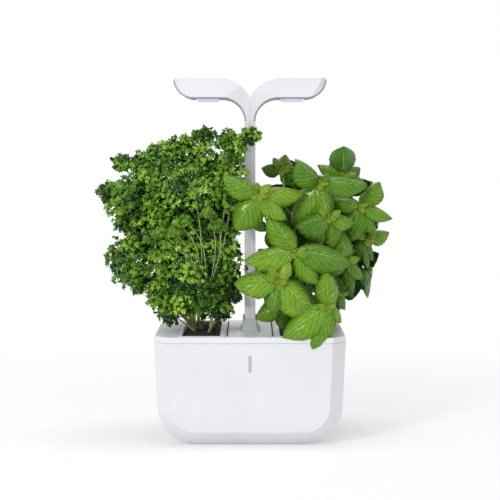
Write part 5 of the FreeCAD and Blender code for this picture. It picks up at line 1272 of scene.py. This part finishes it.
@dataclass
class Studio:
    """Pale floor, plain soft lights and the camera, in metres."""

    lens: float = 102.1
    distance: float = 1.729
    height: float = 0.3554
    pitch: float = 4.27
    floor_level: float = -0.0002
    floor_size: float = 6.0
    sky_strength: float = 0.55
    sky_colour: Colour = (0.93, 0.96, 1.0)

    def backdrop(self) -> None:
        """Make the floor, which shows as white."""
        bm = bmesh.new()
        bmesh.ops.create_grid(bm, x_segments=1, y_segments=1, size=self.floor_size)
        for vert in bm.verts:
            vert.co.z = self.floor_level
        floor = in_scene("floor", mesh_of("floor", bm))
        graph = Graph("floor_white")
        grain = graph.noise(graph.place(8.0), 2.0)
        tone = graph.mix(grain, (0.93, 0.93, 0.935), (0.95, 0.95, 0.955))
        graph.dress(Base_Color=tone, Roughness=0.9, Specular_IOR_Level=0.1)
        graph.show(self.whitened(graph), "ShaderNodeOutputMaterial")
        floor.data.materials.append(graph.material)

    @staticmethod
    def whitened(graph: Graph) -> Shade:
        """A floor's surface, lighter for the rays that show it as background, with its shadow kept."""
        seen = graph.node("ShaderNodeLightPath", {}, {}, "Is Camera Ray")
        glow = graph.node("ShaderNodeEmission", {}, {"Strength": 1.0})
        away = graph.node("ShaderNodeVectorMath", {"operation": "LENGTH"}, {0: graph.place()}, "Value")
        share = seen * (0.4 + 0.6 * away.clamp(0.25, 0.8))
        return graph.node("ShaderNodeMixShader", {}, {0: share, 1: graph.surface, 2: glow})

    def sky(self) -> None:
        """Light the scene softly from all round, with a white background where it is seen."""
        world = bpy.data.worlds.new("studio")
        bpy.context.scene.world = world
        tree = NodeTree(world)
        seen, through, mirrored = (tree.node("ShaderNodeLightPath", {}, {}, ray)
                                   for ray in ("Is Camera Ray", "Is Transmission Ray", "Is Glossy Ray"))
        shown = tree.math("MAXIMUM", tree.math("MAXIMUM", seen, through), mirrored)
        soft = tree.node("ShaderNodeBackground", {}, {"Color": (*self.sky_colour, 1.0),
                                                      "Strength": self.sky_strength})
        white = tree.node("ShaderNodeBackground", {}, {"Color": (1.0, 1.0, 1.0, 1.0)})
        tree.show(tree.node("ShaderNodeMixShader", {}, {0: shown, 1: soft, 2: white}),
                  "ShaderNodeOutputWorld")

    @staticmethod
    def lamp(name: str, place: Point, size: float, power: float, colour: Colour) -> None:
        """Add one soft square light that points at the plants."""
        aim = Vector((0.0, 0.0, 0.2))
        data = bpy.data.lights.new(name, "AREA")
        data.size = size
        data.energy = power
        data.color = colour
        light = in_scene(name, data)
        light.location = place
        light.rotation_euler = (aim - Vector(place)).to_track_quat("-Z", "Y").to_euler()

    def lights(self) -> None:
        """Add a key light from the upper left, a wide fill on the right and a light above."""
        self.lamp("key", (-1.5, -2.1, 1.45), 0.6, 30.5, (1.0, 0.985, 0.97))
        self.lamp("fill", (1.7, -2.2, 0.5), 1.4, 6.5, (0.96, 0.98, 1.0))
        self.lamp("above", (0.1, 0.1, 2.3), 1.0, 19.0, (1.0, 1.0, 1.0))

    def camera(self) -> None:
        """Place the camera in front, a little above the plants' middle."""
        data = bpy.data.cameras.new("camera")
        data.lens = self.lens
        data.sensor_width = 36.0
        data.clip_end = 20.0
        camera = in_scene("camera", data)
        camera.location = (0.0, -self.distance, self.height)
        camera.rotation_euler = (math.radians(90.0 - self.pitch), 0.0, 0.0)
        bpy.context.scene.camera = camera
        bpy.context.scene.view_settings.view_transform = "Standard"

    def build(self) -> None:
        """Set up the whole studio."""
        self.backdrop()
        self.sky()
        self.lights()
        self.camera()
        log.info("studio ready")


def dress_nodes(made: dict[Finish, bpy.types.Material]) -> None:
    """Give every rigid CAD node the finish of its material slot.

    Args:
        made: The materials by finish.
    """
    slots = {part["node"]: part["material_slot"] for part in frame["record"]["subparts"]}
    for name, node in frame["nodes"].items():
        finish = SLOT_FINISH.get(slots.get(name, ""))
        if finish is None:
            continue
        for index in range(len(node.data.materials)):
            node.data.materials[index] = made[finish]
        if not node.data.materials:
            node.data.materials.append(made[finish])
        log.info("%s: %s", name, finish.value.name)


def main() -> None:
    """Dress the rigid parts, grow the plants, fill the pods and set up the studio."""
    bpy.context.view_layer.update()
    made = {finish: finish.value.material() for finish in Finish}
    dress_nodes(made)
    garden = Garden()
    peat = Peat("peat").material()
    for side in (-1, 1):
        SoilBed(garden, side).build(peat)
    for side in ("left", "right"):
        FeltFeed(side).build(made[Finish.FELT])
    CoilLead().build(made[Finish.LEAD])
    BasilPlant(garden).build(BasilBlade("basil_blade").material(),
                             Stalk("basil_shoot", (0.16, 0.3, 0.06), (0.34, 0.46, 0.14)).material())
    ParsleyPlant(garden).build(ParsleyBlade("parsley_blade").material(),
                               Stalk("parsley_stalk", (0.3, 0.42, 0.12), (0.52, 0.6, 0.3)).material())
    Studio().build()


if __name__ == "__main__":
    main()
